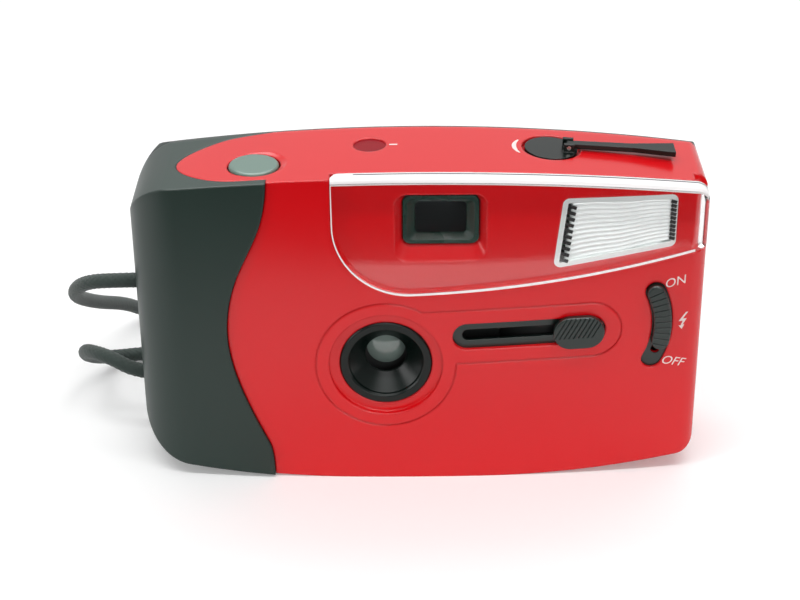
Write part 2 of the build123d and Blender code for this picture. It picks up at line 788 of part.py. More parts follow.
with BuildPart() as latch_tongue:
    # A bent steel strip fixed inside the door, for the latch to hold.
    block(tab_x, (tab_front_y, back_y), tab_z)
    block((tab_x[0] - tab_foot, tab_x[0]), (back_y - wall - sheet, back_y), tab_z)
    add(inner, mode=Mode.INTERSECT)
save(latch_tongue, "latch_tongue")

with BuildPart() as film_window:
    with BuildSketch(Plane.XZ.offset(-back_y)):
        with Locations((cassette_x, film_window_z)):
            RectangleRounded(film_window_width, film_window_height, 3)
    extrude(amount=wall - edge_radius)
save(film_window, "film_window")

with BuildPart() as hinge_pin:
    cylinder_up(hinge_x, hinge_y, hinge_pin_radius, (hinge_low, hinge_high))
save(hinge_pin, "hinge_pin")

with BuildPart() as battery_door:
    add(outer)
    add(inner, mode=Mode.SUBTRACT)
    block(
        (battery_door_x[0] + battery_hinge_gap, battery_door_x[1] - clearance),
        (battery_door_y[0] + clearance, battery_door_y[1] - clearance),
        (-far, door_top_z / 2),
        mode=Mode.INTERSECT,
    )
    for y in battery_pin_y:
        cylinder_back(
            battery_hinge_x, battery_hinge_z, battery_pin_radius, (min(y[0] + fit, y[1]), y[1] - fit)
        )
save(battery_door, "battery_door")

with BuildPart() as battery_contact_bottom:
    lathe_up(
        (
            (0, 0),
            (contact_radius, 0),
            (contact_radius, contact_low_z),
            (1.2, contact_high_z),
            (0, contact_high_z),
        ),
        battery_x,
        battery_y,
    )
    add(outer, mode=Mode.INTERSECT)
    add(battery_door.part, mode=Mode.SUBTRACT)
save(battery_contact_bottom, "battery_contact_bottom")

# Frame
with BuildPart() as main_chassis:
    # Take-up bay on the left, between a floor and a ceiling plate.
    cylinder_up(spool_x, spool_y, spool_chamber_radius + chamber_wall, (bay_floor_z, bay_top_z))
    block(
        (bay_left_x, bay_right_x + chamber_wall),
        (bay_front_y, film_y - 1),
        (bay_floor_z - 1.3, bay_floor_z),
    )
    block((bay_left_x, bay_right_x + chamber_wall), (bay_front_y, film_y - 1), (bay_top_z, bay_top_z + 1.2))
    # Wall round the film gate.
    block(
        (bay_right_x, cassette_left_x + chamber_wall),
        (film_y - 1.9, film_y),
        (bay_floor_z - 1.3, bay_top_z + 1.2),
    )
    # Cassette bay on the right.
    cylinder_up(
        cassette_x, crank_y, cassette_radius + cassette_room + chamber_wall, (cassette_low_z, deck_top_z)
    )
    block(
        (cassette_left_x - chamber_wall, cassette_right_x + chamber_wall),
        (crank_y, film_y),
        (cassette_low_z, deck_top_z),
    )
    # Deck under the viewfinder and the flash, and the box of the battery.
    block((bay_right_x, cassette_right_x), (deck_front_y, seam_y - clearance), (deck_top_z - 1, deck_top_z))
    block(
        (cassette_right_x, battery_box_x),
        (-battery_box_y, battery_box_y),
        (bay_floor_z / 2, battery_box_z),
    )
    # Light tunnel between the gate and the shutter.
    with BuildSketch(Plane.XZ.offset(-film_y + 1)):
        with Locations((lens_x, gate_z)):
            Rectangle(gate_width + 2 * rib, gate_height + 2 * rib)
    with BuildSketch(Plane.XZ.offset(-shutter_seat_y)):
        with Locations((lens_x, gate_z)):
            Rectangle(12 + 2 * rib, 12 + 2 * rib)
    loft()
    block(shutter_x, (shutter_seat_y, shutter_seat_y + rib), shutter_z)
    # Foot on the floor of the casing.
    block((-screw_x - 4, screw_x + 4), (screw_y - 3, screw_y + 3), (wall, bay_floor_z))
    block((-screw_x - 4, screw_x + 4), (screw_y - 3, film_y), (bay_floor_z - 1.3, bay_floor_z))
    # Openings
    cylinder_up(spool_x, spool_y, spool_chamber_radius, (bay_floor_z, bay_top_z), mode=Mode.SUBTRACT)
    block(
        (spool_x - spool_chamber_radius, bay_right_x),
        (spool_y, far),
        (bay_floor_z, bay_top_z),
        mode=Mode.SUBTRACT,
    )
    cylinder_up(
        sprocket_x, sprocket_y, sprocket_radius + 1.4, (bay_floor_z, bay_top_z), mode=Mode.SUBTRACT
    )
    cylinder_up(
        cassette_x,
        crank_y,
        cassette_radius + cassette_room,
        (cassette_low_z + 0.8, deck_top_z - 1),
        mode=Mode.SUBTRACT,
    )
    block(
        (cassette_left_x, cassette_right_x),
        (crank_y, far),
        (cassette_low_z + 0.8, deck_top_z - 1),
        mode=Mode.SUBTRACT,
    )
    with BuildSketch(Plane.XZ.offset(-film_y)):
        with Locations((lens_x, gate_z)):
            Rectangle(gate_width, gate_height)
    with BuildSketch(Plane.XZ.offset(-shutter_seat_y - rib)):
        with Locations((lens_x, gate_z)):
            Rectangle(11, 11)
    loft(mode=Mode.SUBTRACT)
    cylinder_back(lens_x, lens_z, rear_lens_radius, (shutter_seat_y, shutter_seat_y + 2), mode=Mode.SUBTRACT)
    block(all_x, (film_y, far), all_z, mode=Mode.SUBTRACT)
    cylinder_up(
        battery_x, battery_y, battery_radius + 2 * fit, (-far, battery_top_z), mode=Mode.SUBTRACT
    )
    cylinder_up(
        spool_x, spool_y, spool_shaft_radius + fit, (bay_floor_z - 2, bay_top_z + 2), mode=Mode.SUBTRACT
    )
    cylinder_up(
        sprocket_x,
        sprocket_y,
        sprocket_shaft_radius + fit,
        (bay_floor_z - 2, bay_top_z + 2),
        mode=Mode.SUBTRACT,
    )
    with BuildSketch(crank_plane):
        Circle(crank_shaft_radius + clearance)
    extrude(amount=-(crank_z - deck_top_z) - 5, mode=Mode.SUBTRACT)
    block(
        (cassette_left_x - 5, blade_right_x + clearance),
        (-far, blade_y + blade_thickness + clearance),
        blade_room_z,
        mode=Mode.SUBTRACT,
    )
    for x in (-screw_x, screw_x):
        cylinder_up(x, screw_y, screw_radius, (0, screw_length), mode=Mode.SUBTRACT)
    # Posts of the idler and the advance wheel, and the pillars of the gear plate.
    cylinder_up(idler_x, idler_y, idler_post_radius, (bay_top_z + 0.6, gear_plate_z))
    cylinder_up(wheel_x, wheel_y, wheel_post_radius, (bay_top_z + 0.6, wheel_low_z + wheel_thickness))
    for x, y in pillars:
        cylinder_up(x, y, pillar_radius, (bay_top_z + 0.6, gear_plate_z))
    cylinder_up(dial_x, dial_y, dial_post_radius, (deck_top_z - 0.5, dial_z + dial_thickness))
    add(inner, mode=Mode.INTERSECT)
save(main_chassis, "main_chassis")

# Optics
with BuildPart() as lens_bezel:
    lathe(
        (
            (lens_hole_radius, bezel_back_y),
            (lens_ring_radius, bezel_back_y),
            (lens_ring_radius, bezel_front_y + 0.35),
            (lens_ring_radius - 0.35, bezel_front_y),
            (lens_cone_radius + 0.4, bezel_front_y),
            (lens_cone_radius, bezel_front_y + 0.4),
            (lens_cone_radius, bezel_front_y + 1.0),
            (lens_hole_radius, bezel_back_y - 0.5),
        ),
        lens_x,
        lens_z,
    )
    # The flange that rests against the inside of the front wall.
    lathe(
        (
            (lens_ring_radius - 0.5, bezel_seat_y),
            (lens_ring_radius + 0.4, bezel_seat_y),
            (lens_ring_radius + 0.4, bezel_seat_y + 0.9),
            (lens_ring_radius - 0.5, bezel_seat_y + 0.9),
        ),
        lens_x,
        lens_z,
    )
save(lens_bezel, "lens_bezel")

with BuildPart() as lens_barrel:
    lathe(
        (
            (3.6, barrel_front_y),
            (barrel_radius, barrel_front_y),
            (barrel_radius, barrel_back_y),
            (6.2, barrel_back_y),
            (6.2, barrel_back_y - 1.4),
            (3.2, barrel_back_y - 1.8),
            (3.2, barrel_front_y + 2.3),
            (front_lens_radius, barrel_front_y + 2.3),
            (front_lens_radius, barrel_front_y + 0.6),
            (3.6, barrel_front_y + 0.6),
        ),
        lens_x,
        lens_z,
    )
    for z in (lens_z - 7.9, lens_z + 7.9):
        block((lens_x - 7, lens_x + 7), (barrel_back_y - 1.2, shutter_front_y), (z - 1, z + 1))
save(lens_barrel, "lens_barrel")

with BuildPart() as front_lens:
    lathe(
        (
            (0, barrel_front_y + 0.25),
            (1.8, barrel_front_y + 0.35),
            (3.3, barrel_front_y + 0.6),
            (front_lens_radius, barrel_front_y + 0.9),
            (front_lens_radius, barrel_front_y + 2.3),
            (0, barrel_front_y + 2.3),
        ),
        lens_x,
        lens_z,
    )
save(front_lens, "front_lens")

with BuildPart() as rear_lens:
    lathe(
        (
            (0, shutter_seat_y),
            (rear_lens_radius, shutter_seat_y),
            (rear_lens_radius, shutter_seat_y + 0.9),
            (2.4, shutter_seat_y + 1.3),
            (0, shutter_seat_y + 1.5),
        ),
        lens_x,
        lens_z,
    )
save(rear_lens, "rear_lens")

with BuildPart() as shutter_plate:
    block(shutter_x, (shutter_front_y, shutter_seat_y), shutter_z)
    cylinder_back(lens_x, lens_z, aperture_radius, (shutter_front_y, shutter_seat_y), mode=Mode.SUBTRACT)
    cylinder_back(pivot_x, pivot_z, pivot_radius, (shutter_front_y - 1.2, shutter_front_y))
save(shutter_plate, "shutter_plate")

with BuildPart() as shutter_blade:
    with BuildSketch(Plane.XZ.offset(-shutter_front_y + clearance / 2)):
        with Locations((lens_x, lens_z)):
            Circle(aperture_radius + 0.9)
        with Locations((pivot_x, pivot_z)):
            Circle(1.4)
        make_hull()
    extrude(amount=0.4)
    cylinder_back(pivot_x, pivot_z, pivot_radius + fit, (-far, far), mode=Mode.SUBTRACT)
save(shutter_blade, "shutter_blade")

with BuildPart() as viewfinder_bezel:
    with BuildSketch(Plane.XZ.offset(-well_back_y)):
        with Locations((finder_x, finder_z)):
            RectangleRounded(finder_width, finder_height, 1.6)
    extrude(amount=0.8)
    with BuildSketch(Plane.XZ.offset(-finder_front_y)):
        with Locations((finder_x, finder_z)):
            RectangleRounded(finder_width + 1.6, finder_height + 1.6, 2)
    extrude(amount=finder_front_y - well_back_y)
    with BuildSketch(Plane.XZ.offset(-well_back_y + 0.8)):
        with Locations((finder_x, finder_z)):
            RectangleRounded(finder_width - 1.8, finder_height - 1.8, 1.2)
    with BuildSketch(Plane.XZ.offset(-finder_front_y)):
        with Locations((finder_x, finder_z)):
            RectangleRounded(finder_sight_width, finder_sight_height, 0.8)
    loft(mode=Mode.SUBTRACT)
save(viewfinder_bezel, "viewfinder_bezel")

with BuildPart() as viewfinder_tunnel:
    block(
        (finder_x - tunnel_width / 2, finder_x + tunnel_width / 2),
        (finder_front_y, finder_rear_y),
        (finder_z - tunnel_height / 2, finder_z + tunnel_height / 2),
    )
    for y in ((-8.0, -6.0), (3.0, 5.0)):
        block((finder_x - 4.5, finder_x + 4.5), y, (deck_top_z, finder_z - tunnel_height / 2 + rib / 2))
    block(
        (finder_x - tunnel_width / 2 + rib, finder_x + tunnel_width / 2 - rib),
        all_y,
        (finder_z - tunnel_height / 2 + rib, finder_z + tunnel_height / 2 - rib),
        mode=Mode.SUBTRACT,
    )
save(viewfinder_tunnel, "viewfinder_tunnel")

for name, y in (
    ("viewfinder_front_lens", (finder_front_y, finder_front_y + 1.2)),
    ("viewfinder_eye_lens", (finder_rear_y - 2.2, finder_rear_y - 1.0)),
):
    with BuildPart() as finder_lens:
        block(
            (finder_x - tunnel_width / 2 + rib, finder_x + tunnel_width / 2 - rib),
            y,
            (finder_z - tunnel_height / 2 + rib, finder_z + tunnel_height / 2 - rib),
        )
    save(finder_lens, name)

with BuildPart() as eyepiece_frame:
    block(
        (finder_x - eyepiece_width / 2, finder_x + eyepiece_width / 2),
        (finder_rear_y, back_y + eyepiece_proud),
        (finder_z - eyepiece_height / 2, finder_z + eyepiece_height / 2),
    )
    with BuildSketch(Plane.XZ.offset(-back_y - eyepiece_proud)):
        with Locations((finder_x, finder_z)):
            RectangleRounded(eyepiece_width + 2, eyepiece_height + 2, 2)
    extrude(amount=eyepiece_proud)
    with BuildSketch(Plane.XZ.offset(-back_y - eyepiece_proud)):
        with Locations((finder_x, finder_z)):
            RectangleRounded(eyepiece_width - 2, eyepiece_height - 2, 1)
    with BuildSketch(Plane.XZ.offset(-finder_rear_y)):
        with Locations((finder_x, finder_z)):
            RectangleRounded(eyepiece_width - 4, eyepiece_height - 4, 0.6)
    loft(mode=Mode.SUBTRACT)
save(eyepiece_frame, "eyepiece_frame")

with BuildPart() as counter_window:
    cylinder_up(counter_x, counter_y, counter_radius, (top_at(counter_x) - wall, far))
    add(arch_form(groove_depth), mode=Mode.INTERSECT)
save(counter_window, "counter_window")

with BuildPart() as ready_lamp:
    cylinder_back(lamp_x, finder_z, lamp_radius, (film_y, back_y + 0.4))
save(ready_lamp, "ready_lamp")

# Flash
with BuildPart() as flash_frame:
    extrude(flash_outline(0, flash_back_y), amount=far)
    extrude(flash_outline(-flash_rim, flash_back_y), amount=far, mode=Mode.SUBTRACT)
    add(plan_prism(floor_depth), mode=Mode.INTERSECT)
save(flash_frame, "flash_frame")

with BuildPart() as flash_cover:
    extrude(flash_outline(-flash_rim, flash_cover_y), amount=far)
    add(plan_prism(floor_depth + edge_radius), mode=Mode.INTERSECT)
save(flash_cover, "flash_cover")


def reflector_room(shell):
    # The tapered inside of the reflector, or its outside with the shell's thickness.
    with BuildSketch(Plane.XZ.offset(-flash_back_y)) as mouth:
        with Locations(((flash_left + flash_right) / 2, (flash_top_z + flash_low_right_z) / 2 - 0.7)):
            Rectangle(reflector_width + 2 * shell, reflector_height + 2 * shell)
    with BuildSketch(Plane.XZ.offset(-reflector_back_y - shell)) as root:
        with Locations(((flash_left + flash_right) / 2, flash_tube_z)):
            Rectangle(reflector_width - 4 + 2 * shell, 2 * flash_tube_radius + 1.2 + 2 * shell)
    with BuildPart() as room:
        loft([mouth.sketch.face(), root.sketch.face()])
    return room.part


with BuildPart() as flash_reflector:
    add(reflector_room(0.5))
    add(reflector_room(0), mode=Mode.SUBTRACT)
    with Locations(Plane.YZ.offset(flash_left)):
        with Locations((flash_tube_y, flash_tube_z)):
            Cylinder(flash_tube_radius, far, mode=Mode.SUBTRACT)
save(flash_reflector, "flash_reflector")

with BuildPart() as flash_tube:
    with BuildSketch(Plane.YZ.offset(flash_left)):
        with Locations((flash_tube_y, flash_tube_z)):
            Circle(flash_tube_radius)
    extrude(amount=flash_right - flash_left)
save(flash_tube, "flash_tube")

with BuildPart() as circuit_board:
    block((board_left_x, cassette_right_x - rib), (board_y, board_y + 1.2), (deck_top_z, battery_box_z))
    block((board_left_x, board_right_x), (board_y, board_y + 1.2), (battery_box_z, board_top_z))
save(circuit_board, "circuit_board")

with BuildPart() as flash_transformer:
    block((board_left_x, transformer_right_x), (board_y + 1.2, 4.5), (deck_top_z, deck_top_z + 8.5))
save(flash_transformer, "flash_transformer")

with BuildPart() as flash_capacitor:
    with BuildSketch(Plane.YZ.offset(crank_x + 5)):
        with Locations((capacitor_y, battery_box_z + capacitor_radius)):
            Circle(capacitor_radius)
    extrude(amount=board_right_x - crank_x - 6)
save(flash_capacitor, "flash_capacitor")

# Battery
with BuildPart() as battery_cell:
    cylinder_up(battery_x, battery_y, battery_radius, (battery_low_z, battery_low_z + battery_length))
    cylinder_up(
        battery_x, battery_y, 2.7, (battery_low_z + battery_length, battery_top_z - contact_thickness)
    )
save(battery_cell, "battery_cell")

with BuildPart() as battery_contact_top:
    cylinder_up(battery_x, battery_y, 5, (battery_top_z - contact_thickness, battery_top_z))
save(battery_contact_top, "battery_contact_top")

with BuildPart() as case_screws:
    for x in (-screw_x, screw_x):
        cylinder_up(x, screw_y, screw_radius, (screw_sink, screw_length))
        cylinder_up(x, screw_y, screw_head_radius, (edge_radius / 4, screw_sink))
save(case_screws, "case_screws")

# Mechanism on top
with BuildPart() as gear_plate:
    block((bay_left_x + 0.4, bay_right_x - 0.4), (bay_front_y + 0.4, 6.4), gear_plate_span)
    cylinder_up(button_x, button_y, guide_radius, (gear_plate_z, button_spring_z))
    cylinder_up(button_x, button_y, stem_radius + fit, (stem_low_z - 2, far), mode=Mode.SUBTRACT)
    cylinder_up(wheel_x, wheel_y, 3.6, all_z, mode=Mode.SUBTRACT)
    cylinder_up(sprocket_x, sprocket_y, sprocket_shaft_radius + fit, all_z, mode=Mode.SUBTRACT)
    add(inner, mode=Mode.INTERSECT)
save(gear_plate, "gear_plate")

with BuildPart() as shutter_button:
    cylinder_up(button_x, button_y, button_radius, (button_cap_z, top_at(button_x) + 0.2))
    fillet(shutter_button.edges().group_by(Axis.Z)[-1], 0.7)
    cylinder_up(button_x, button_y, button_radius + 0.9, (button_cap_z, button_cap_z + 0.9))
    cylinder_up(button_x, button_y, stem_radius, (stem_low_z, button_cap_z))
save(shutter_button, "shutter_button")


def spring(x, y, radius, wire, low, high, turns):
    # A coil whose ends lie against what it pushes on.
    rise = (high - low - 2 * wire) / turns
    with BuildPart() as coil:
        with BuildLine() as path:
            Helix(rise, rise * turns, radius, center=(x, y, low + wire))
        with BuildSketch(Plane(origin=path.line @ 0, z_dir=path.line % 0)):
            Circle(wire)
        sweep(is_frenet=True)
    return coil.part


with BuildPart() as button_spring:
    add(spring(button_x, button_y, 2.5, 0.3, button_spring_z, button_cap_z, 4))
save(button_spring, "button_spring")


def gear_outline(teeth, phase):
    # Straight-sided teeth with some backlash, turned so that one tooth points to phase.
    pitch_radius = gear_module * teeth / 2
    step = 360 / teeth
    tip, root = pitch_radius + gear_module * 0.9, pitch_radius - gear_module * 1.15
    points = []
    for tooth in range(teeth):
        for share, radius in ((-0.29, root), (-0.12, tip), (0.12, tip), (0.29, root)):
            angle = math.radians(phase + (tooth + share) * step)
            points.append((radius * math.cos(angle), radius * math.sin(angle)))
    with BuildSketch() as outline:
        with BuildLine():
            Polyline(*points, close=True)
        make_face()
    return outline.sketch


def gear(x, y, teeth, phase, bore):
    outline = gear_outline(teeth, phase)
    with BuildPart() as wheel:
        with BuildSketch(Plane.XY.offset(gear_low_z)):
            with Locations((x, y)):
                add(outline)
                Circle(bore, mode=Mode.SUBTRACT)
        extrude(amount=gear_thickness)
    return wheel.part


def bearing(from_x, from_y, to_x, to_y):
    return math.degrees(math.atan2(to_y - from_y, to_x - from_x))


# Each gear's phase puts a gap where the tooth of its driver points.
wheel_to_spool = bearing(wheel_x, wheel_y, spool_x, spool_y)
spool_to_idler_angle = bearing(spool_x, spool_y, idler_x, idler_y)
idler_to_sprocket_angle = bearing(idler_x, idler_y, sprocket_x, sprocket_y)
wheel_phase = wheel_to_spool
spool_phase = wheel_to_spool + 180 + 180 / spool_teeth
spool_offset = (spool_to_idler_angle - spool_phase) / (360 / spool_teeth)
idler_phase = spool_to_idler_angle + 180 + (0.5 + spool_offset) * 360 / idler_teeth
idler_offset = (idler_to_sprocket_angle - idler_phase) / (360 / idler_teeth)
sprocket_phase = idler_to_sprocket_angle + 180 + (0.5 + idler_offset) * 360 / sprocket_gear_teeth

with BuildPart() as advance_wheel:
    cylinder_up(wheel_x, wheel_y, wheel_radius, (wheel_low_z, wheel_low_z + wheel_thickness))
    chamfer(advance_wheel.edges(), 0.5)
    with BuildSketch(Plane.XY.offset(wheel_low_z)):
        with Locations((wheel_x, wheel_y)):
            with PolarLocations(wheel_radius, wheel_ribs):
                Circle(wheel_rib_radius)
    extrude(amount=wheel_thickness, mode=Mode.SUBTRACT)
    cylinder_up(wheel_x, wheel_y, 3.2, (gear_low_z + gear_thickness / 2, wheel_low_z))
    add(gear(wheel_x, wheel_y, wheel_teeth, wheel_phase, wheel_post_radius))
    cylinder_up(wheel_x, wheel_y, wheel_post_radius + fit, all_z, mode=Mode.SUBTRACT)
save(advance_wheel, "advance_wheel")

with BuildPart() as takeup_spool:
    cylinder_up(spool_x, spool_y, spool_core_radius, (spool_low_z, spool_high_z))
    for z in (spool_low_z, spool_high_z - flange_thickness):
        cylinder_up(spool_x, spool_y, spool_flange_radius, (z, z + flange_thickness))
    cylinder_up(spool_x, spool_y, spool_shaft_radius, (bay_floor_z - 1.3, gear_low_z + gear_thickness))
    add(gear(spool_x, spool_y, spool_teeth, spool_phase, spool_shaft_radius / 2))
save(takeup_spool, "takeup_spool")

with BuildPart() as idler_gear:
    add(gear(idler_x, idler_y, idler_teeth, idler_phase, idler_post_radius + fit))
save(idler_gear, "idler_gear")

with BuildPart() as sprocket_drum:
    cylinder_up(sprocket_x, sprocket_y, sprocket_radius - 1.3, (spool_low_z, spool_high_z))
    for z in (gate_z - perforation_gauge / 2, gate_z + perforation_gauge / 2):
        cylinder_up(sprocket_x, sprocket_y, sprocket_radius, (z - 2, z + 2))
        with BuildSketch(Plane.XY.offset(z - 0.6)):
            with Locations((sprocket_x, sprocket_y)):
                with PolarLocations(sprocket_radius, sprocket_teeth, start_angle=11):
                    Trapezoid(1.7, 1.6, 70, align=(Align.CENTER, Align.CENTER), rotation=-90)
        extrude(amount=1.2)
    cylinder_up(sprocket_x, sprocket_y, sprocket_shaft_radius, (bay_floor_z - 1.3, dial_z))
    add(gear(sprocket_x, sprocket_y, sprocket_gear_teeth, sprocket_phase, sprocket_shaft_radius / 2))
    cylinder_up(sprocket_x, sprocket_y, finger_radius, (dial_z - 1.4, dial_z - 0.3))
save(sprocket_drum, "sprocket_drum")

with BuildPart() as counter_dial:
    cylinder_up(dial_x, dial_y, dial_radius, (dial_z, dial_z + dial_thickness))
    cylinder_up(dial_x, dial_y, 2.4, (dial_z - 1.2, dial_z))
    cylinder_up(dial_x, dial_y, dial_post_radius + fit, all_z, mode=Mode.SUBTRACT)
save(counter_dial, "counter_dial")

# Rewind crank
with BuildPart() as rewind_disc:
    with BuildSketch(crank_plane.offset(0.1 - crank_thickness)):
        Circle(crank_radius)
    extrude(amount=crank_thickness - 0.1)
    with BuildSketch(crank_plane):
        for v in (-ear_y, ear_y):
            with Locations((lever_pin_u, v)):
                Rectangle(2.2, ear_thickness)
    extrude(amount=lever_pin_w + 0.8)
    with BuildSketch(lever_pin_plane.offset(-far / 10)):
        Circle(lever_pin_radius)
    extrude(amount=far / 5, mode=Mode.SUBTRACT)
save(rewind_disc, "rewind_disc")

with BuildPart() as rewind_shaft:
    with BuildSketch(crank_plane.offset(0.1 - crank_thickness)):
        Circle(crank_shaft_radius)
    extrude(amount=-(crank_z - fork_low_z))
    with BuildSketch(crank_plane.offset(-(crank_z - fork_low_z) + 3)):
        Rectangle(2 * crank_shaft_radius, 0.9)
    extrude(amount=-5, mode=Mode.SUBTRACT)
save(rewind_shaft, "rewind_shaft")

with BuildPart() as rewind_lever:
    with BuildSketch(crank_plane.offset(lever_pin_w - lever_thickness / 2)):
        with BuildLine():
            half, end = lever_width / 2, lever_end_width / 2
            Polyline(
                (lever_pin_u, -half),
                (lever_reach - 9, -half - 0.2),
                (lever_reach, -end),
                (lever_reach, end),
                (lever_reach - 9, half + 0.2),
                (lever_pin_u, half),
                close=True,
            )
        make_face()
    extrude(amount=lever_thickness)
    with BuildSketch(lever_pin_plane.offset(-half)):
        Circle(lever_thickness / 2)
    extrude(amount=2 * half)
    with BuildSketch(lever_pin_plane.offset(-far / 10)):
        Circle(lever_pin_radius + fit)
    extrude(amount=far / 5, mode=Mode.SUBTRACT)
save(rewind_lever, "rewind_lever")

with BuildPart() as rewind_lever_pin:
    with BuildSketch(lever_pin_plane.offset(-ear_y - ear_thickness / 2)):
        Circle(lever_pin_radius)
    extrude(amount=2 * ear_y + ear_thickness)
save(rewind_lever_pin, "rewind_lever_pin")

# Lens cover, which slides along the chord of the bowed front
knob_mid_x = slot_right_x - clearance - knob_length / 2
cover_end_x = knob_mid_x - cover_travel
chord_rise = front_at(cover_end_x) - front_at(knob_mid_x)
slide_direction = Vector(
    -cover_travel, chord_rise, -cover_travel * math.tan(math.radians(slot_tilt))
).normalized()
knob_z = slot_z + (knob_mid_x - slot_left_x) * math.tan(math.radians(slot_tilt))
slide_plane = Plane(
    origin=(knob_mid_x, front_at(knob_mid_x), knob_z),
    x_dir=slide_direction * -1,
    z_dir=Vector(0, 0, 1).cross(slide_direction),
)

with BuildPart() as slot_plate:
    # The dark bed of the slot, with the narrow slit that the knob's stem runs in.
    extrude(slot_outline(slot_left_x, slot_right_x, slot_height, 0), amount=far)
    add(plan_prism(slot_sink), mode=Mode.INTERSECT)
    with BuildSketch(slide_plane.offset(-wall)):
        Rectangle(far, far)
    extrude(amount=-far, mode=Mode.SUBTRACT)
    with BuildSketch(slide_plane):
        with Locations((-cover_travel / 2, 0)):
            SlotOverall(cover_travel + stem_length + 2 * clearance, stem_height + 2 * clearance)
    extrude(amount=far, both=True, mode=Mode.SUBTRACT)
save(slot_plate, "slot_plate")

with BuildPart() as lens_cover_knob:
    with BuildSketch(slide_plane.offset(clearance)):
        SlotOverall(knob_length, knob_height)
    extrude(amount=knob_thickness)
    fillet(lens_cover_knob.faces().sort_by(Axis.Y)[0].edges(), 0.4)
    with BuildSketch(slide_plane.offset(clearance + knob_thickness)):
        with GridLocations(knob_ridge_pitch, 0, knob_ridges, 1):
            with Locations((0, knob_height / 6)):
                Rectangle(ridge_width, knob_height * 0.7, rotation=-knob_ridge_lean)
    extrude(amount=-ridge_depth, mode=Mode.SUBTRACT)
    with BuildSketch(slide_plane.offset(clearance)):
        SlotOverall(stem_length, stem_height)
    extrude(amount=-(wall + 2 * clearance))
save(lens_cover_knob, "lens_cover_knob")

with BuildPart() as lens_cover_blade:
    # A bent sheet: the carrier on the knob, the arm above the lens, and the blade itself.
    with BuildSketch(slide_plane.offset(-wall - clearance)):
        with Locations((0, (arm_high_z - knob_z) / 2 - 0.6)):
            Rectangle(stem_length, arm_high_z - knob_z + 1.2)
    extrude(amount=-0.4)
    block((arm_left_x, knob_mid_x - 2), (arm_y, arm_y + 0.35), (arm_low_z, arm_high_z))
    block((arm_left_x, arm_left_x + 1), (arm_y, blade_y + blade_thickness), (arm_low_z, arm_high_z))
    block((arm_left_x, blade_right_x), (blade_y, blade_y + blade_thickness), (blade_low_z, arm_high_z))
    block((blade_left_x, blade_right_x), (blade_y, blade_y + blade_thickness), (blade_low_z, blade_high_z))
save(lens_cover_blade, "lens_cover_blade")

# Flash switch
with BuildPart() as flash_switch_plate:
    extrude(
        switch_outline(switch_slot_low, switch_slot_high, switch_width, switch_floor_y), amount=0.3
    )
    extrude(
        switch_outline(
            -stem_angle - switch_swing - stem_play,
            stem_angle + stem_play,
            stem_width + 2 * clearance,
            0,
        ),
        amount=far,
        mode=Mode.SUBTRACT,
    )
save(flash_switch_plate, "flash_switch_plate")

with BuildPart() as flash_switch_knob:
    extrude(
        switch_outline(
            switch_knob_low, switch_knob_high, switch_width - 2 * clearance, switch_floor_y - 2 * clearance
        ),
        amount=switch_knob_thickness,
    )
    fillet(flash_switch_knob.faces().sort_by(Axis.Y)[0].edges(), 0.5)
    with BuildSketch(Plane.XZ.offset(2 * clearance - switch_floor_y + switch_knob_thickness)):
        with Locations((switch_x, switch_z)):
            with PolarLocations(
                switch_radius,
                switch_ridges,
                start_angle=switch_knob_low + switch_ridge_step,
                angular_range=switch_ridges * switch_ridge_step,
            ):
                Rectangle(switch_width, ridge_width)
    extrude(amount=-ridge_depth, mode=Mode.SUBTRACT)
    extrude(
        switch_outline(-stem_angle, stem_angle, stem_width, wiper_y),
        amount=wiper_y - switch_floor_y + 2 * clearance,
    )
save(flash_switch_knob, "flash_switch_knob")

with BuildPart() as flash_switch_wiper:
    extrude(switch_outline(-stem_angle - 6, stem_angle + 6, 5.0, wiper_y + 0.4), amount=0.4)
save(flash_switch_wiper, "flash_switch_wiper")

# Film plane and door
with BuildPart() as pressure_plate:
    with BuildSketch(Plane.XZ.offset(-plate_y - plate_thickness)):
        with Locations((lens_x, gate_z)):
            RectangleRounded(gate_width + 4, film_width + 1.2, 1.5)
    extrude(amount=plate_thickness)
save(pressure_plate, "pressure_plate")

with BuildPart() as pressure_spring:
    inside_y = back_y - wall
    touch_y = plate_y + plate_thickness
    for side in (-1, 1):
        with BuildSketch(Plane.XY.offset(gate_z - 4)):
            with BuildLine():
                Polyline(
                    (lens_x, inside_y),
                    (lens_x + side * 4, inside_y),
                    (lens_x + side * 14, touch_y + 0.3),
                    (lens_x + side * 14, touch_y),
                    (lens_x + side * 4, inside_y - 0.3),
                    (lens_x, inside_y - 0.3),
                    close=True,
                )
            make_face()
        extrude(amount=8)
save(pressure_spring, "pressure_spring")

with BuildPart() as door_latch:
    block(
        (latch_knob_x, half_width - 0.25),
        (latch_slot_y[0] + clearance, latch_slot_y[1] - clearance),
        (latch_slot_z[0] + latch_travel + clearance, latch_slot_z[1] - clearance),
    )
    block(
        (latch_knob_x - 0.7, latch_knob_x),
        (latch_slot_y[0] - 1, latch_slot_y[1] + 1),
        (latch_slot_z[0] - 3, latch_slot_z[1] + 3),
    )
save(door_latch, "door_latch")

with BuildPart() as rewind_button:
    cylinder_up(sprocket_x, sprocket_y, release_radius, (release_low_z, release_high_z))
    cylinder_up(sprocket_x, sprocket_y, release_radius + 1, (release_flange_z, release_flange_z + 0.8))
save(rewind_button, "rewind_button")

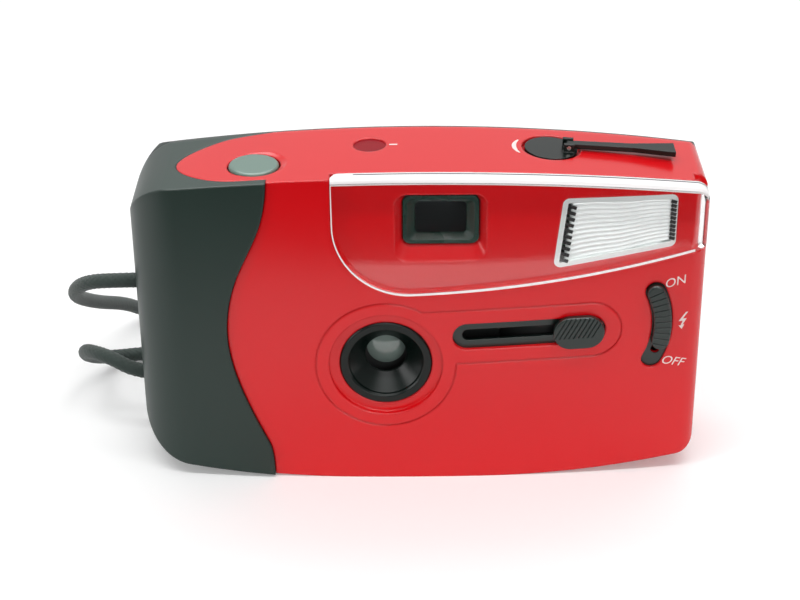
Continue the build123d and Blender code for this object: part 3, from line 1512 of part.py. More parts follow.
# Wrist strap: out of the upper opening, round behind the camera and back into the lower one
strap_points = (
    (strap_floor_x, strap_y, strap_high_z),
    (-65.8, strap_y, strap_high_z),
    (-74.5, 3.5, 38.0),
    (-78.8, 13.0, 29.5),
    (-76.5, 30.0, 18.5),
    (-72.0, 45.0, 10.0),
    (-69.0, 54.0, 3.0),
    (-62.5, 60.0, 1.7),
    (-48.0, 62.3, 1.7),
    (-32.0, 61.2, 1.7),
    (-8.0, 60.2, 1.7),
    (17.5, 59.8, 1.7),
    (24.5, 53.5, 1.7),
    (24.3, 44.5, 1.7),
    (17.0, 38.6, 1.7),
    (-8.0, 37.2, 1.7),
    (-36.0, 37.8, 1.7),
    (-52.0, 36.0, 1.7),
    (-66.0, 34.5, 1.75),
    (-75.0, 30.0, 3.2),
    (-78.0, 20.0, 9.5),
    (-76.5, 9.0, 17.5),
    (-70.0, 1.5, 20.3),
    (-62.8, strap_y, strap_low_z),
    (strap_floor_x, strap_y, strap_low_z),
)


def bend_radii(points):
    # The widest even bend at each inner point that leaves the runs' middles straight.
    radii = []
    for before, point, after in zip(points, points[1:], points[2:]):
        first, second = Vector(*point) - Vector(*before), Vector(*after) - Vector(*point)
        turn = math.radians(first.get_angle(second))
        radii.append(0.45 * min(first.length, second.length) / math.tan(turn / 2))
    return radii


strap_radii = bend_radii(strap_points)
with BuildPart() as strap_cord:
    with BuildLine() as route:
        FilletPolyline(*strap_points, radius=strap_radii)
    with BuildSketch(Plane(origin=route.line @ 0, z_dir=route.line % 0)) as strap_section:
        Circle(cord_diameter / 2)
    sweep(strap_section.sketch, path=route.line)
save(strap_cord, "strap_cord")
print("strap bends", [round(radius, 1) for radius in strap_radii])
strap_length = route.wires()[0].length
print("strap length", round(strap_length, 1))
strap_volume = strap_length * strap_section.sketch.area
print("strap volume", round(strap_cord.part.volume, 1), "against", round(strap_volume, 1))
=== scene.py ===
import math

import bmesh
import bpy
from mathutils import Matrix, Vector


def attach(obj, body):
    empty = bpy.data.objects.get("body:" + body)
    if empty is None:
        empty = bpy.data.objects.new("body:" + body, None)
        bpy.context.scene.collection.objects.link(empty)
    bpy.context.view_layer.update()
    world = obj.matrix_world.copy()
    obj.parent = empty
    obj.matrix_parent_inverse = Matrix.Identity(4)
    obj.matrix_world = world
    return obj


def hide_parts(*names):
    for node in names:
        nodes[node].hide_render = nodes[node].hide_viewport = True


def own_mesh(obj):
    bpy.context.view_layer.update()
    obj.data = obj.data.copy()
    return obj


# Compact film camera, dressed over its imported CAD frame. Metres, front towards -Y, up +Z.
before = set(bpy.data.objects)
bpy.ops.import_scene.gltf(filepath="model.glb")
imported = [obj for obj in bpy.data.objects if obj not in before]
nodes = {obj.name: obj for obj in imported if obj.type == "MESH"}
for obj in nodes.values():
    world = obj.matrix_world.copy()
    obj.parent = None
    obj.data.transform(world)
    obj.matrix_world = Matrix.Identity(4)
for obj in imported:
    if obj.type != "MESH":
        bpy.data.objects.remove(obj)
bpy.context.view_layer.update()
scene = bpy.context.scene
mm = 0.001
scene.view_settings.view_transform = "Standard"
print("frame loaded,", len(nodes), "nodes")


def linear(hexCode, alpha=1.0):
    # An sRGB hex colour as the linear values that Blender wants
    parts = [int(hexCode[i:i + 2], 16) / 255 for i in (1, 3, 5)]
    return tuple(c / 12.92 if c <= 0.04045 else ((c + 0.055) / 1.055) ** 2.4 for c in parts) + (alpha,)


def addNode(tree, kind, settings=None, inputs=None):
    # One node with its settings; an input takes a value or another node's output
    node = tree.nodes.new(kind)
    for name, value in (settings or {}).items():
        setattr(node, name, value)
    for name, value in (inputs or {}).items():
        if isinstance(value, bpy.types.NodeSocket):
            tree.links.new(value, node.inputs[name])
        else:
            node.inputs[name].default_value = value
    return node


def startMaterial(name, baseColour, values):
    # A new material with one Principled shader; values are set on its own sockets
    material = bpy.data.materials.new(name)
    material.use_nodes = True
    tree = material.node_tree
    shader = tree.nodes["Principled BSDF"]
    shader.inputs["Base Color"].default_value = linear(baseColour)
    for socket, value in values.items():
        shader.inputs[socket].default_value = value
    coordinates = addNode(tree, "ShaderNodeTexCoord").outputs["Object"]
    return material, tree, shader, coordinates


def mottle(tree, shader, coordinates, colours, size, roughness):
    # Slow change of tone and of gloss over a surface, with patches of about size mm
    patches = addNode(tree, "ShaderNodeTexNoise", {}, {
        "Vector": coordinates, "Scale": 1 / (size * mm), "Detail": 3.0})
    tone = addNode(tree, "ShaderNodeMix", {"data_type": "RGBA"}, {
        0: patches.outputs["Fac"], 6: linear(colours[0]), 7: linear(colours[1])})
    tree.links.new(tone.outputs[2], shader.inputs["Base Color"])
    gloss = addNode(tree, "ShaderNodeMapRange", {}, {
        "Value": patches.outputs["Fac"], "To Min": roughness[0], "To Max": roughness[1]})
    tree.links.new(gloss.outputs["Result"], shader.inputs["Roughness"])


def grain(tree, shader, coordinates, size, depth, strength, edge=0.0):
    # Fine moulded grain of size mm and depth mm, over edges that are softened by edge mm
    cells = addNode(tree, "ShaderNodeTexNoise", {}, {
        "Vector": coordinates, "Scale": 1 / (size * mm), "Detail": 2.0})
    bump = addNode(tree, "ShaderNodeBump", {}, {
        "Height": cells.outputs["Fac"], "Distance": depth * mm, "Strength": strength})
    if edge:
        softened = addNode(tree, "ShaderNodeBevel", {"samples": 6}, {"Radius": edge * mm})
        tree.links.new(softened.outputs["Normal"], bump.inputs["Normal"])
    tree.links.new(bump.outputs["Normal"], shader.inputs["Normal"])


plastic = {"ior": 1.53, "coatRoughness": 0.08, "patchSize": 22, "grainStrength": 0.5}


def mouldedPlastic(name, colours, roughness, grainSize, grainDepth, coat=0.0, edge=0.25, shine=0.5):
    # Opaque moulded plastic; the sizes of its grain and its softened edges are in mm
    material, tree, shader, coordinates = startMaterial(name, colours[0], {
        "IOR": plastic["ior"], "Coat Weight": coat, "Coat Roughness": plastic["coatRoughness"],
        "Specular IOR Level": shine})
    mottle(tree, shader, coordinates, colours, plastic["patchSize"], roughness)
    grain(tree, shader, coordinates, grainSize, grainDepth, plastic["grainStrength"], edge)
    return material


# Gloss ABS moulded in red: a clean shine, with the faintest orange peel from the tool
redAbs = mouldedPlastic("glossRedAbs", ("#d8040f", "#dc0612"), (0.17, 0.23), 0.9, 0.002, edge=0.7)
# Satin ABS moulded in black-green: the hand wears it a little shinier in patches
gripAbs = mouldedPlastic("satinBlackGreenAbs", ("#10261f", "#142b24"), (0.34, 0.42), 0.35, 0.006, edge=0.8)
# Spark-eroded black-green ABS of the back: the tool's fine grain breaks up the shine
backAbs = mouldedPlastic("grainedBackAbs", ("#14211d", "#182622"), (0.46, 0.54), 0.3, 0.03, edge=0.5)
# Black polystyrene inside and round the optics, dull so that it swallows stray light
dullBlack = mouldedPlastic("dullBlackPolystyrene", ("#121414", "#171919"), (0.55, 0.65), 0.4, 0.015)
# Black acetal of moving parts: waxy, a soft sheen
blackAcetal = mouldedPlastic("blackAcetal", ("#12201c", "#162521"), (0.28, 0.36), 0.5, 0.008, coat=0.2)
# Polished black ring round the lens, so its rim catches a thin line of light
ringBlack = mouldedPlastic(
    "polishedBlackAbs", ("#06100d", "#081310"), (0.22, 0.28), 0.8, 0.004, edge=0.3, shine=0.3)
# Dark green ABS round the viewfinder, smoother than the grip
bezelGreen = mouldedPlastic("darkGreenAbs", ("#12332a", "#163a30"), (0.24, 0.32), 0.5, 0.005, edge=0.3)
# Grey-green ABS of the shutter button, lighter than the grip
buttonAbs = mouldedPlastic("greyGreenAbs", ("#5d766c", "#647d73"), (0.34, 0.4), 0.4, 0.01, coat=0.2, edge=0.5)
# White acetal of gears and of the counter's dial, a little translucent and yellowish
whiteAcetal = mouldedPlastic("whiteAcetal", ("#e6e4da", "#eeece3"), (0.38, 0.46), 0.5, 0.01, edge=0.1)


flow = {"size": 14, "strength": 0.4}


def clearPlastic(name, tint, roughness, ior, waviness):
    # Clear moulded sheet: its flow waves bend the reflections a little, and it lets the light through to
    # what is behind it
    material, tree, shader, coordinates = startMaterial(name, tint, {
        "IOR": ior, "Transmission Weight": 1.0, "Roughness": roughness})
    waves = addNode(tree, "ShaderNodeTexNoise", {}, {
        "Vector": coordinates, "Scale": 1 / (flow["size"] * mm), "Detail": 1.0})
    bump = addNode(tree, "ShaderNodeBump", {}, {
        "Height": waves.outputs["Fac"], "Distance": waviness * mm, "Strength": flow["strength"]})
    tree.links.new(bump.outputs["Normal"], shader.inputs["Normal"])
    paths = addNode(tree, "ShaderNodeLightPath")
    lit = addNode(tree, "ShaderNodeMath", {"operation": "MAXIMUM"}, {
        0: paths.outputs["Is Shadow Ray"], 1: paths.outputs["Is Diffuse Ray"]})
    through = addNode(tree, "ShaderNodeBsdfTransparent", {}, {"Color": linear(tint)})
    both = addNode(tree, "ShaderNodeMixShader", {}, {
        0: lit.outputs[0], 1: shader.outputs[0], 2: through.outputs[0]})
    tree.links.new(both.outputs[0], tree.nodes["Material Output"].inputs["Surface"])
    return material


# Cast acrylic of the front panel
panelAcrylic = clearPlastic("clearAcrylic", "#ffffff", 0.03, 1.49, 0.001)
# Its polished edges carry light round inside the sheet, so they show white; that white is a painted highlight,
# an opaque white finish on the edge pieces
acrylicEdgeHighlight = mouldedPlastic(
    "paintedEdgeHighlightAcrylic", ("#fdf6f6", "#ffffff"), (0.14, 0.2), 1.2, 0.004, coat=0.6, edge=0.3)
# Dark red acrylic of the counter window, its numbers only just showing through
counterAcrylic = mouldedPlastic(
    "darkRedAcrylic", ("#7a0412", "#9a0a1c"), (0.3, 0.4), 1.5, 0.02, edge=0.1, shine=0.1)
# Ground optical glass with a grey anti-reflection coat
lensGlass = clearPlastic("coatedOpticalGlass", "#dfe6e8", 0.01, 1.52, 0.0)
# The taking lens as it looks from outside: grey-green glass over the dark of the shutter, painted as an opaque
# colour. The grey-green is a painted reflection, set lighter as painted light against the shade in the barrel's
# mouth
paintedReflectionGlass = mouldedPlastic(
    "greyGlassPaintedReflection", ("#76857f", "#84928c"), (0.04, 0.06), 6, 0.0, coat=1.0, edge=0.0)
# Clear polystyrene of the flash cover, with the tube behind it
flashStyrene = clearPlastic("prismaticPolystyrene", "#fbfdff", 0.08, 1.59, 0.03)
# The flash window: clear prisms over a bright reflector, so the whole sheet looks silver-white. That
# silver-white is a painted reflection of the reflector, put on the sheet as its own colour
paintedReflectorStyrene, tree, shader, coordinates = startMaterial("prismStyrenePaintedReflection", "#f6fbfa", {
    "Metallic": 0.2, "Roughness": 0.16, "Coat Weight": 0.6, "Coat Roughness": 0.06})
grain(tree, shader, coordinates, 1.4, 0.01, 0.4)
# Orange styrene of the ready lamp
lampStyrene = clearPlastic("orangePolystyrene", "#ff8a2a", 0.1, 1.59, 0.01)


rolling = {"depth": 0.004, "strength": 0.5}


def sheetMetal(name, colour, roughness, streak, stretch):
    # Rolled sheet: fine streaks along X, of a width of streak mm
    material, tree, shader, coordinates = startMaterial(name, colour, {"Metallic": 1.0})
    scaled = addNode(tree, "ShaderNodeMapping", {}, {"Vector": coordinates, "Scale": (1 / stretch, 1, 1)})
    lines = addNode(tree, "ShaderNodeTexNoise", {}, {
        "Vector": scaled.outputs["Vector"], "Scale": 1 / (streak * mm), "Detail": 2.0})
    gloss = addNode(tree, "ShaderNodeMapRange", {}, {
        "Value": lines.outputs["Fac"], "To Min": roughness[0], "To Max": roughness[1]})
    tree.links.new(gloss.outputs["Result"], shader.inputs["Roughness"])
    bump = addNode(tree, "ShaderNodeBump", {}, {
        "Height": lines.outputs["Fac"], "Distance": rolling["depth"] * mm, "Strength": rolling["strength"]})
    tree.links.new(bump.outputs["Normal"], shader.inputs["Normal"])
    return material


# Nickel-plated sheet steel: grey-white, with rolling streaks
nickelSteel = sheetMetal("nickelPlatedSteel", "#b9b7b0", (0.2, 0.34), 0.2, 12)
# Spring steel, darker and blued a touch
springSteel = sheetMetal("springSteel", "#8b8d92", (0.26, 0.38), 0.2, 12)
# Bright rolled aluminium of the flash reflector
reflectorAluminium = sheetMetal("brightAluminium", "#e9eaec", (0.08, 0.16), 0.3, 8)

# Glass-fibre board under green solder resist: its weave shows as a faint 0.5 mm check
boardWeave = 0.5
boardResist, tree, shader, coordinates = startMaterial("solderResistBoard", "#1c5a34", {
    "Roughness": 0.3, "IOR": 1.55})
weave = addNode(tree, "ShaderNodeTexChecker", {}, {
    "Vector": coordinates, "Scale": 1 / (boardWeave * mm), "Color1": linear("#1a5530"),
    "Color2": linear("#226a3e")})
tree.links.new(weave.outputs["Color"], shader.inputs["Base Color"])

# Shrunk PVC sleeve of the cell and the capacitor: glossy, dark up to the band's foot and copper-coloured above
sleeveBandFoot = 42
sleevePvc, tree, shader, coordinates = startMaterial("shrunkPvcSleeve", "#2a2c30", {
    "Roughness": 0.25, "IOR": 1.54})
split = addNode(tree, "ShaderNodeSeparateXYZ", {}, {"Vector": coordinates})
band = addNode(tree, "ShaderNodeMath", {"operation": "GREATER_THAN"}, {
    0: split.outputs["Z"], 1: sleeveBandFoot * mm})
bandTone = addNode(tree, "ShaderNodeMix", {"data_type": "RGBA"}, {
    0: band.outputs[0], 6: linear("#2b2d31"), 7: linear("#a8834a")})
tree.links.new(bandTone.outputs[2], shader.inputs["Base Color"])

# Screen-printed white ink: flat, with tiny pinholes
printInk, tree, shader, coordinates = startMaterial("whiteScreenInk", "#f2d9d6", {"Roughness": 0.5})
mottle(tree, shader, coordinates, ("#ecd3d0", "#f7e6e3"), 0.6, (0.45, 0.55))

# Braided polyester: dull yarns with a little sheen, with painted shade that makes them darker where they dip
braidYarn, tree, shader, coordinates = startMaterial("braidedPolyester", "#1f2a26", {
    "Roughness": 0.72, "Sheen Weight": 0.35, "Sheen Roughness": 0.4})
yarns = addNode(tree, "ShaderNodeUVMap", {"uv_map": "cordUv"})
threads = addNode(tree, "ShaderNodeTexWave", {"wave_type": "BANDS", "bands_direction": "DIAGONAL"}, {
    "Vector": yarns.outputs["UV"], "Scale": 2.6, "Distortion": 2.0, "Detail": 2.0})
# Painted shade: darker bands where the yarns dip
yarnDipShade = addNode(tree, "ShaderNodeMix", {"data_type": "RGBA"}, {
    0: threads.outputs["Fac"], 6: linear("#18211e"), 7: linear("#33433d")})
tree.links.new(yarnDipShade.outputs[2], shader.inputs["Base Color"])
yarnBump = addNode(tree, "ShaderNodeBump", {}, {
    "Height": threads.outputs["Fac"], "Distance": 0.05 * mm, "Strength": 0.6})
tree.links.new(yarnBump.outputs["Normal"], shader.inputs["Normal"])
print("materials ready")

finishes = {
    redAbs: ("front_cover",),
    gripAbs: ("grip_cover",),
    backAbs: ("rear_cover", "back_door", "battery_door", "eyepiece_frame", "door_latch"),
    dullBlack: (
        "main_chassis", "lens_barrel", "viewfinder_tunnel", "gear_plate", "pressure_plate",
        "lens_cover_blade", "flash_transformer", "takeup_spool", "shutter_plate"),
    paintedReflectorStyrene: ("flash_frame",),
    blackAcetal: (
        "advance_wheel", "sprocket_drum", "rewind_shaft", "slot_plate", "lens_cover_knob",
        "flash_switch_plate", "flash_switch_knob", "rewind_button"),
    bezelGreen: ("viewfinder_bezel",),
    ringBlack: ("lens_bezel", "rewind_disc", "rewind_lever"),
    buttonAbs: ("shutter_button",),
    whiteAcetal: ("idler_gear", "counter_dial"),
    panelAcrylic: ("window_panel", "film_window"),
    counterAcrylic: ("counter_window",),
    lensGlass: ("front_lens", "rear_lens", "viewfinder_front_lens", "viewfinder_eye_lens"),
    flashStyrene: ("flash_cover", "flash_tube"),
    lampStyrene: ("ready_lamp",),
    nickelSteel: (
        "hinge_pin", "case_screws", "battery_contact_top", "rewind_lever_pin", "flash_switch_wiper",
        "shutter_blade", "latch_tongue"),
    springSteel: ("button_spring", "pressure_spring", "battery_contact_bottom"),
    reflectorAluminium: ("flash_reflector",),
    boardResist: ("circuit_board",),
    sleevePvc: ("battery_cell", "flash_capacitor"),
}
for material, names in finishes.items():
    for name in names:
        nodes[name].data.materials.clear()
        nodes[name].data.materials.append(material)
print("finishes set")

# Camera at the photograph's angle, aimed at a point above the middle of the base
view = {"azimuth": -0.38, "elevation": 28.55, "roll": -0.23, "distance": 422.34, "focalPixels": 1908.3,
        "centre": (417.48, 299.15), "aim": (0, 0, 35), "image": (800, 600), "sensor": 36}
azimuth, elevation = math.radians(view["azimuth"]), math.radians(view["elevation"])
backward = Vector((
    math.sin(azimuth) * math.cos(elevation), -math.cos(azimuth) * math.cos(elevation), math.sin(elevation)))
lens = bpy.data.cameras.new("camera")
cameraObject = bpy.data.objects.new("camera", lens)
scene.collection.objects.link(cameraObject)
roll = Matrix.Rotation(math.radians(view["roll"]), 4, "Z")
turn = backward.to_track_quat("Z", "Y").to_matrix().to_4x4() @ roll
stand = (Vector(view["aim"]) + backward * view["distance"]) * mm
cameraObject.matrix_world = Matrix.Translation(stand) @ turn
imageWidth, imageHeight = view["image"]
lens.sensor_width = view["sensor"]
lens.lens = view["focalPixels"] * view["sensor"] / imageWidth
lens.shift_x = (imageWidth / 2 - view["centre"][0]) / imageWidth
lens.shift_y = (view["centre"][1] - imageHeight / 2) / imageWidth
scene.camera = cameraObject

# Pale floor, in metres: from a little in front of the camera body to far behind it
ground = {"reach": 3, "front": -0.12, "lift": 0.16}
reach = ground["reach"]
floorMesh = bpy.data.meshes.new("floor")
floorMesh.from_pydata([
    (-reach, ground["front"], 0), (reach, ground["front"], 0), (reach, reach, 0), (-reach, reach, 0)],
    [], [(0, 1, 2, 3)])
floorObject = bpy.data.objects.new("floor", floorMesh)
scene.collection.objects.link(floorObject)
floorPaper, tree, shader, coordinates = startMaterial("palePaper", "#f4f4f4", {"Roughness": 0.9})
paths = addNode(tree, "ShaderNodeLightPath")
lift = addNode(tree, "ShaderNodeMath", {"operation": "MULTIPLY"}, {
    0: paths.outputs["Is Camera Ray"], 1: ground["lift"]})
glow = addNode(tree, "ShaderNodeEmission", {}, {"Color": (1, 1, 1, 1), "Strength": lift.outputs[0]})
whole = addNode(tree, "ShaderNodeAddShader", {}, {0: shader.outputs[0], 1: glow.outputs[0]})
tree.links.new(whole.outputs[0], tree.nodes["Material Output"].inputs["Surface"])
floorMesh.materials.append(floorPaper)

# Levels of the studio's light by direction, and the level of the light that falls on matt surfaces
studioLevels = {
    "table": {"From Min": -0.1, "From Max": 0.05, "To Min": 0.12, "To Max": 1.0},
    "depth": {"From Min": -0.3, "From Max": 0.4, "To Min": 0.35, "To Max": 0.85},
    "softBox": {"From Min": 0.72, "From Max": 0.9, "To Min": 1.0, "To Max": 8.0},
    "matt": {"To Min": 0.75, "To Max": 1.0},
}
world = bpy.data.worlds.new("studio")
scene.world = world
world.use_nodes = True
tree = world.node_tree
paths = addNode(tree, "ShaderNodeLightPath")
seen = addNode(tree, "ShaderNodeMath", {"operation": "MAXIMUM"}, {
    0: paths.outputs["Is Camera Ray"], 1: paths.outputs["Is Glossy Ray"]})
seenToo = addNode(tree, "ShaderNodeMath", {"operation": "MAXIMUM"}, {
    0: seen.outputs[0], 1: paths.outputs["Is Transmission Ray"]})
level = addNode(tree, "ShaderNodeMapRange", {}, {"Value": seenToo.outputs[0], **studioLevels["matt"]})
background = tree.nodes["Background"]
background.inputs["Color"].default_value = (1, 1, 1, 1)
# The studio is dark below the table's edge, so the upright front keeps its full colour
heading = addNode(tree, "ShaderNodeTexCoord")
directions = addNode(tree, "ShaderNodeSeparateXYZ", {}, {"Vector": heading.outputs["Generated"]})
above = addNode(tree, "ShaderNodeMapRange", {}, {"Value": directions.outputs["Z"], **studioLevels["table"]})
behind = addNode(tree, "ShaderNodeMapRange", {}, {"Value": directions.outputs["Y"], **studioLevels["depth"]})
# A wide soft box overhead, seen only in reflections: it draws the light lines along rounded edges
overhead = addNode(tree, "ShaderNodeMapRange", {}, {"Value": directions.outputs["Z"], **studioLevels["softBox"]})
studio = addNode(tree, "ShaderNodeMath", {"operation": "MULTIPLY"}, {
    0: above.outputs["Result"], 1: behind.outputs["Result"]})
mirrored = addNode(tree, "ShaderNodeMix", {}, {
    0: paths.outputs["Is Glossy Ray"], 2: 1.0, 3: overhead.outputs["Result"]})
room = addNode(tree, "ShaderNodeMath", {"operation": "MULTIPLY"}, {
    0: studio.outputs[0], 1: mirrored.outputs[0]})
shown = addNode(tree, "ShaderNodeMath", {"operation": "MAXIMUM"}, {
    0: room.outputs[0], 1: paths.outputs["Is Camera Ray"]})
strength = addNode(tree, "ShaderNodeMath", {"operation": "MULTIPLY"}, {
    0: level.outputs["Result"], 1: shown.outputs[0]})
tree.links.new(strength.outputs[0], background.inputs["Strength"])

# Area lamps, in metres and watts, aimed at the middle of the camera body
lampAim = Vector((0, 0, 0.035))
lamps = {
    "stripAbove": {"place": (0, -0.2, 0.75), "size": (0.9, 0.03), "power": 2.8},
    "softBehind": {"place": (0, 0.45, 0.85), "size": (1.2, 0.4), "power": 2.6},
    "fillFront": {"place": (0.35, -0.95, 0.35), "size": (0.7, 0.5), "power": 3.4},
    "fillLeft": {"place": (-0.8, -0.35, 0.3), "size": (0.15, 0.6), "power": 1.2},
}
for name, lamp in lamps.items():
    light = bpy.data.lights.new(name, "AREA")
    light.shape, light.energy = "RECTANGLE", lamp["power"]
    light.size, light.size_y = lamp["size"]
    holder = bpy.data.objects.new(name, light)
    scene.collection.objects.link(holder)
    away = Vector(lamp["place"]) - lampAim
    holder.matrix_world = Matrix.Translation(lamp["place"]) @ away.to_track_quat("Z", "Y").to_matrix().to_4x4()
print("camera, floor and lights ready")


def addPiece(name, mesh, material, body):
    # A finished piece at the origin, riding on a CAD body
    piece = bpy.data.objects.new(name, mesh)
    scene.collection.objects.link(piece)
    mesh.materials.clear()
    mesh.materials.append(material)
    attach(piece, body)
    return piece


def curveMesh(curve):
    # The plain mesh that a curve or a text makes
    holder = bpy.data.objects.new(curve.name, curve)
    scene.collection.objects.link(holder)
    mesh = bpy.data.meshes.new_from_object(holder.evaluated_get(bpy.context.evaluated_depsgraph_get()))
    bpy.data.objects.remove(holder)
    return mesh


def faceOutwards(mesh, merge=0.0):
    # Turns every face outwards, once points closer than merge are joined
    shell = bmesh.new()
    shell.from_mesh(mesh)
    if merge:
        bmesh.ops.remove_doubles(shell, verts=shell.verts, dist=merge)
    bmesh.ops.recalc_face_normals(shell, faces=shell.faces)
    shell.to_mesh(mesh)
    shell.free()


# Wrist strap, in metres: the same route points as the CAD cord
strap = {"diameter": 0.0033, "length": 0.341, "carriers": 8, "braidPitch": 0.011, "strandDepth": 0.00022,
         "strandLift": 1.3, "strandCurve": 0.7, "strandDip": (0.55, 0.45), "ringStep": 0.0003, "around": 28,
         "threadsRound": 10}
strapRoute = (
    (-0.0556, -0.0005, 0.0406), (-0.0658, -0.0005, 0.0406), (-0.0745, 0.0035, 0.038),
    (-0.0788, 0.013, 0.0295),
    (-0.0765, 0.03, 0.0185), (-0.072, 0.045, 0.01), (-0.069, 0.054, 0.003), (-0.0625, 0.06, 0.0017),
    (-0.048, 0.0623, 0.0017), (-0.032, 0.0612, 0.0017), (-0.008, 0.0602, 0.0017), (0.0175, 0.0598, 0.0017),
    (0.0245, 0.0535, 0.0017), (0.0243, 0.0445, 0.0017), (0.017, 0.0386, 0.0017), (-0.008, 0.0372, 0.0017),
    (-0.036, 0.0378, 0.0017), (-0.052, 0.036, 0.0017), (-0.066, 0.0345, 0.00175), (-0.075, 0.03, 0.0032),
    (-0.078, 0.02, 0.0095), (-0.0765, 0.009, 0.0175), (-0.07, 0.0015, 0.0203), (-0.0628, -0.0005, 0.0169),
    (-0.0556, -0.0005, 0.0169),
)


def splineLine(route):
    # Points read from one smooth NURBS line with the route as its control points
    curve = bpy.data.curves.new("strapLine", "CURVE")
    curve.dimensions = "3D"
    curve.resolution_u = 24
    spline = curve.splines.new("NURBS")
    spline.points.add(len(route) - 1)
    for point, place in zip(spline.points, route):
        point.co = (*place, 1)
    spline.order_u = 3
    spline.use_endpoint_u = True
    return [vertex.co.copy() for vertex in curveMesh(curve).vertices]


def evenly(points, step):
    # The same line walked in even steps
    lengths = [0.0]
    for a, b in zip(points, points[1:]):
        lengths.append(lengths[-1] + (b - a).length)
    count = max(2, round(lengths[-1] / step))
    walked, index = [], 0
    for k in range(count + 1):
        target = lengths[-1] * k / count
        while index < len(points) - 2 and lengths[index + 1] < target:
            index += 1
        span = lengths[index + 1] - lengths[index] or 1
        walked.append(points[index].lerp(points[index + 1], min(1, (target - lengths[index]) / span)))
    return walked, lengths[-1]


def braidHeight(angle, along, sizes):
    # How far a plain braid's strands stand out at a point of the cord
    turns = sizes["carriers"] * angle / (2 * math.pi)
    travel = sizes["carriers"] * along / sizes["braidPitch"]
    u, v = turns + travel, turns - travel
    over = (math.floor(u) + math.floor(v)) % 2
    across, onward = (u % 1, v % 1) if over else (v % 1, u % 1)
    dip, swell = sizes["strandDip"]
    return math.sin(math.pi * across) ** sizes["strandCurve"] * (dip + swell * math.sin(math.pi * onward))


def braidedTube(name, line, sizes):
    # A tube of rings along the line whose skin follows the braid; U of its map is in mm along the cord
    walked, total = evenly(line, sizes["ringStep"])
    radius = sizes["diameter"] / 2 - sizes["strandDepth"]
    side = Vector((0, 1, 0))
    vertices, faces, uvs = [], [], []
    around, last = sizes["around"], len(walked) - 1
    for k, point in enumerate(walked):
        before, after = walked[max(k - 1, 0)], walked[min(k + 1, last)]
        tangent = (after - before).normalized()
        side = (side - tangent * side.dot(tangent)).normalized()
        up = tangent.cross(side)
        along = total * k / last
        for j in range(around):
            angle = 2 * math.pi * j / around
            out = radius + sizes["strandDepth"] * braidHeight(angle, along, sizes) * sizes["strandLift"]
            vertices.append(point + (side * math.cos(angle) + up * math.sin(angle)) * out)
    for k in range(last):
        near, far = total * k / last / mm, total * (k + 1) / last / mm
        for j in range(around):
            n = (j + 1) % around
            faces.append((k * around + j, k * around + n, (k + 1) * around + n, (k + 1) * around + j))
            left, right = j * sizes["threadsRound"] / around, (j + 1) * sizes["threadsRound"] / around
            uvs += [(near, left), (near, right), (far, right), (far, left)]
    ends = [tuple(reversed(range(around))), tuple(range(last * around, len(walked) * around))]
    mesh = bpy.data.meshes.new(name)
    mesh.from_pydata(vertices, [], faces + ends)
    layer = mesh.uv_layers.new(name="cordUv")
    for k, uv in enumerate(uvs):
        layer.data[k].uv = uv
    for polygon in mesh.polygons:
        polygon.use_smooth = True
    return mesh, walked, total


strapLine = splineLine(strapRoute)
strapMesh, strapWalked, strapTotal = braidedTube("wrist_strap", strapLine, strap)
strapPiece = addPiece("wrist_strap", strapMesh, braidYarn, "camera")
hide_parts("strap_cord")
print("wrist strap ready,", round(strapTotal / mm, 1), "mm")

# Front and top of the casing, in mm: the front bows back at its ends, where the top comes down
front = {"middle": -18.0, "bow": 3.3, "halfWidth": 61.0}
top = {"middle": 72.7, "arch": 4.25, "shoulder": 3.5}
inkLift = 0.03


def frontAt(x):
    # The front face's Y at an X, all in mm
    return front["middle"] + front["bow"] * (x / front["halfWidth"]) ** 2


def textMesh(words, size, slant):
    # Letters as a flat mesh, centred, size in mm
    curve = bpy.data.curves.new(words, "FONT")
    curve.body, curve.size, curve.shear = words, size * mm, slant
    curve.align_x, curve.align_y = "CENTER", "CENTER"
    curve.resolution_u = 4
    return curveMesh(curve)


def printOnFront(name, mesh, x, z, degrees):
    # Turns a flat mesh and prints it on the bowed front at (x, z) mm
    turned = Matrix.Rotation(math.radians(degrees), 4, "Z")
    for vertex in mesh.vertices:
        place = turned @ vertex.co
        px = x + place.x / mm
        vertex.co = Vector((px * mm, (frontAt(px) - inkLift) * mm, z * mm + place.y))
    addPiece(name, mesh, printInk, "camera")


def outlineMesh(name, points):
    # A flat polygon from (x, y) points in mm
    mesh = bpy.data.meshes.new(name)
    mesh.from_pydata([(x * mm, y * mm, 0) for x, y in points], [], [tuple(range(len(points)))])
    return mesh


def topAt(x):
    # The arched top's Z at an X, all in mm
    return top["middle"] - top["arch"] * (x / front["halfWidth"]) ** 2


def roofAt(x):
    # The same, going round the rounded right shoulder
    shoulder = front["halfWidth"] - top["shoulder"]
    if x < shoulder:
        return topAt(x)
    return topAt(shoulder) - top["shoulder"] + math.sqrt(max(0, top["shoulder"] ** 2 - (x - shoulder) ** 2))


def printOnTop(name, mesh, x, y):
    # Prints a flat mesh on the arched top at (x, y) mm
    for vertex in mesh.vertices:
        px = x + vertex.co.x / mm
        vertex.co = Vector((px * mm, y * mm + vertex.co.y, (topAt(px) + inkLift) * mm))
    addPiece(name, mesh, printInk, "camera")


# The frame counter's line, beside its window
dash = {"place": (-5.0, -0.7), "halfLength": 0.85, "halfWidth": 0.3}
half, narrow = dash["halfLength"], dash["halfWidth"]
dashOutline = ((-half, -narrow), (half, -narrow), (half, narrow), (-half, narrow))
printOnTop("mark_counter_line", outlineMesh("mark_counter_line", dashOutline), *dash["place"])

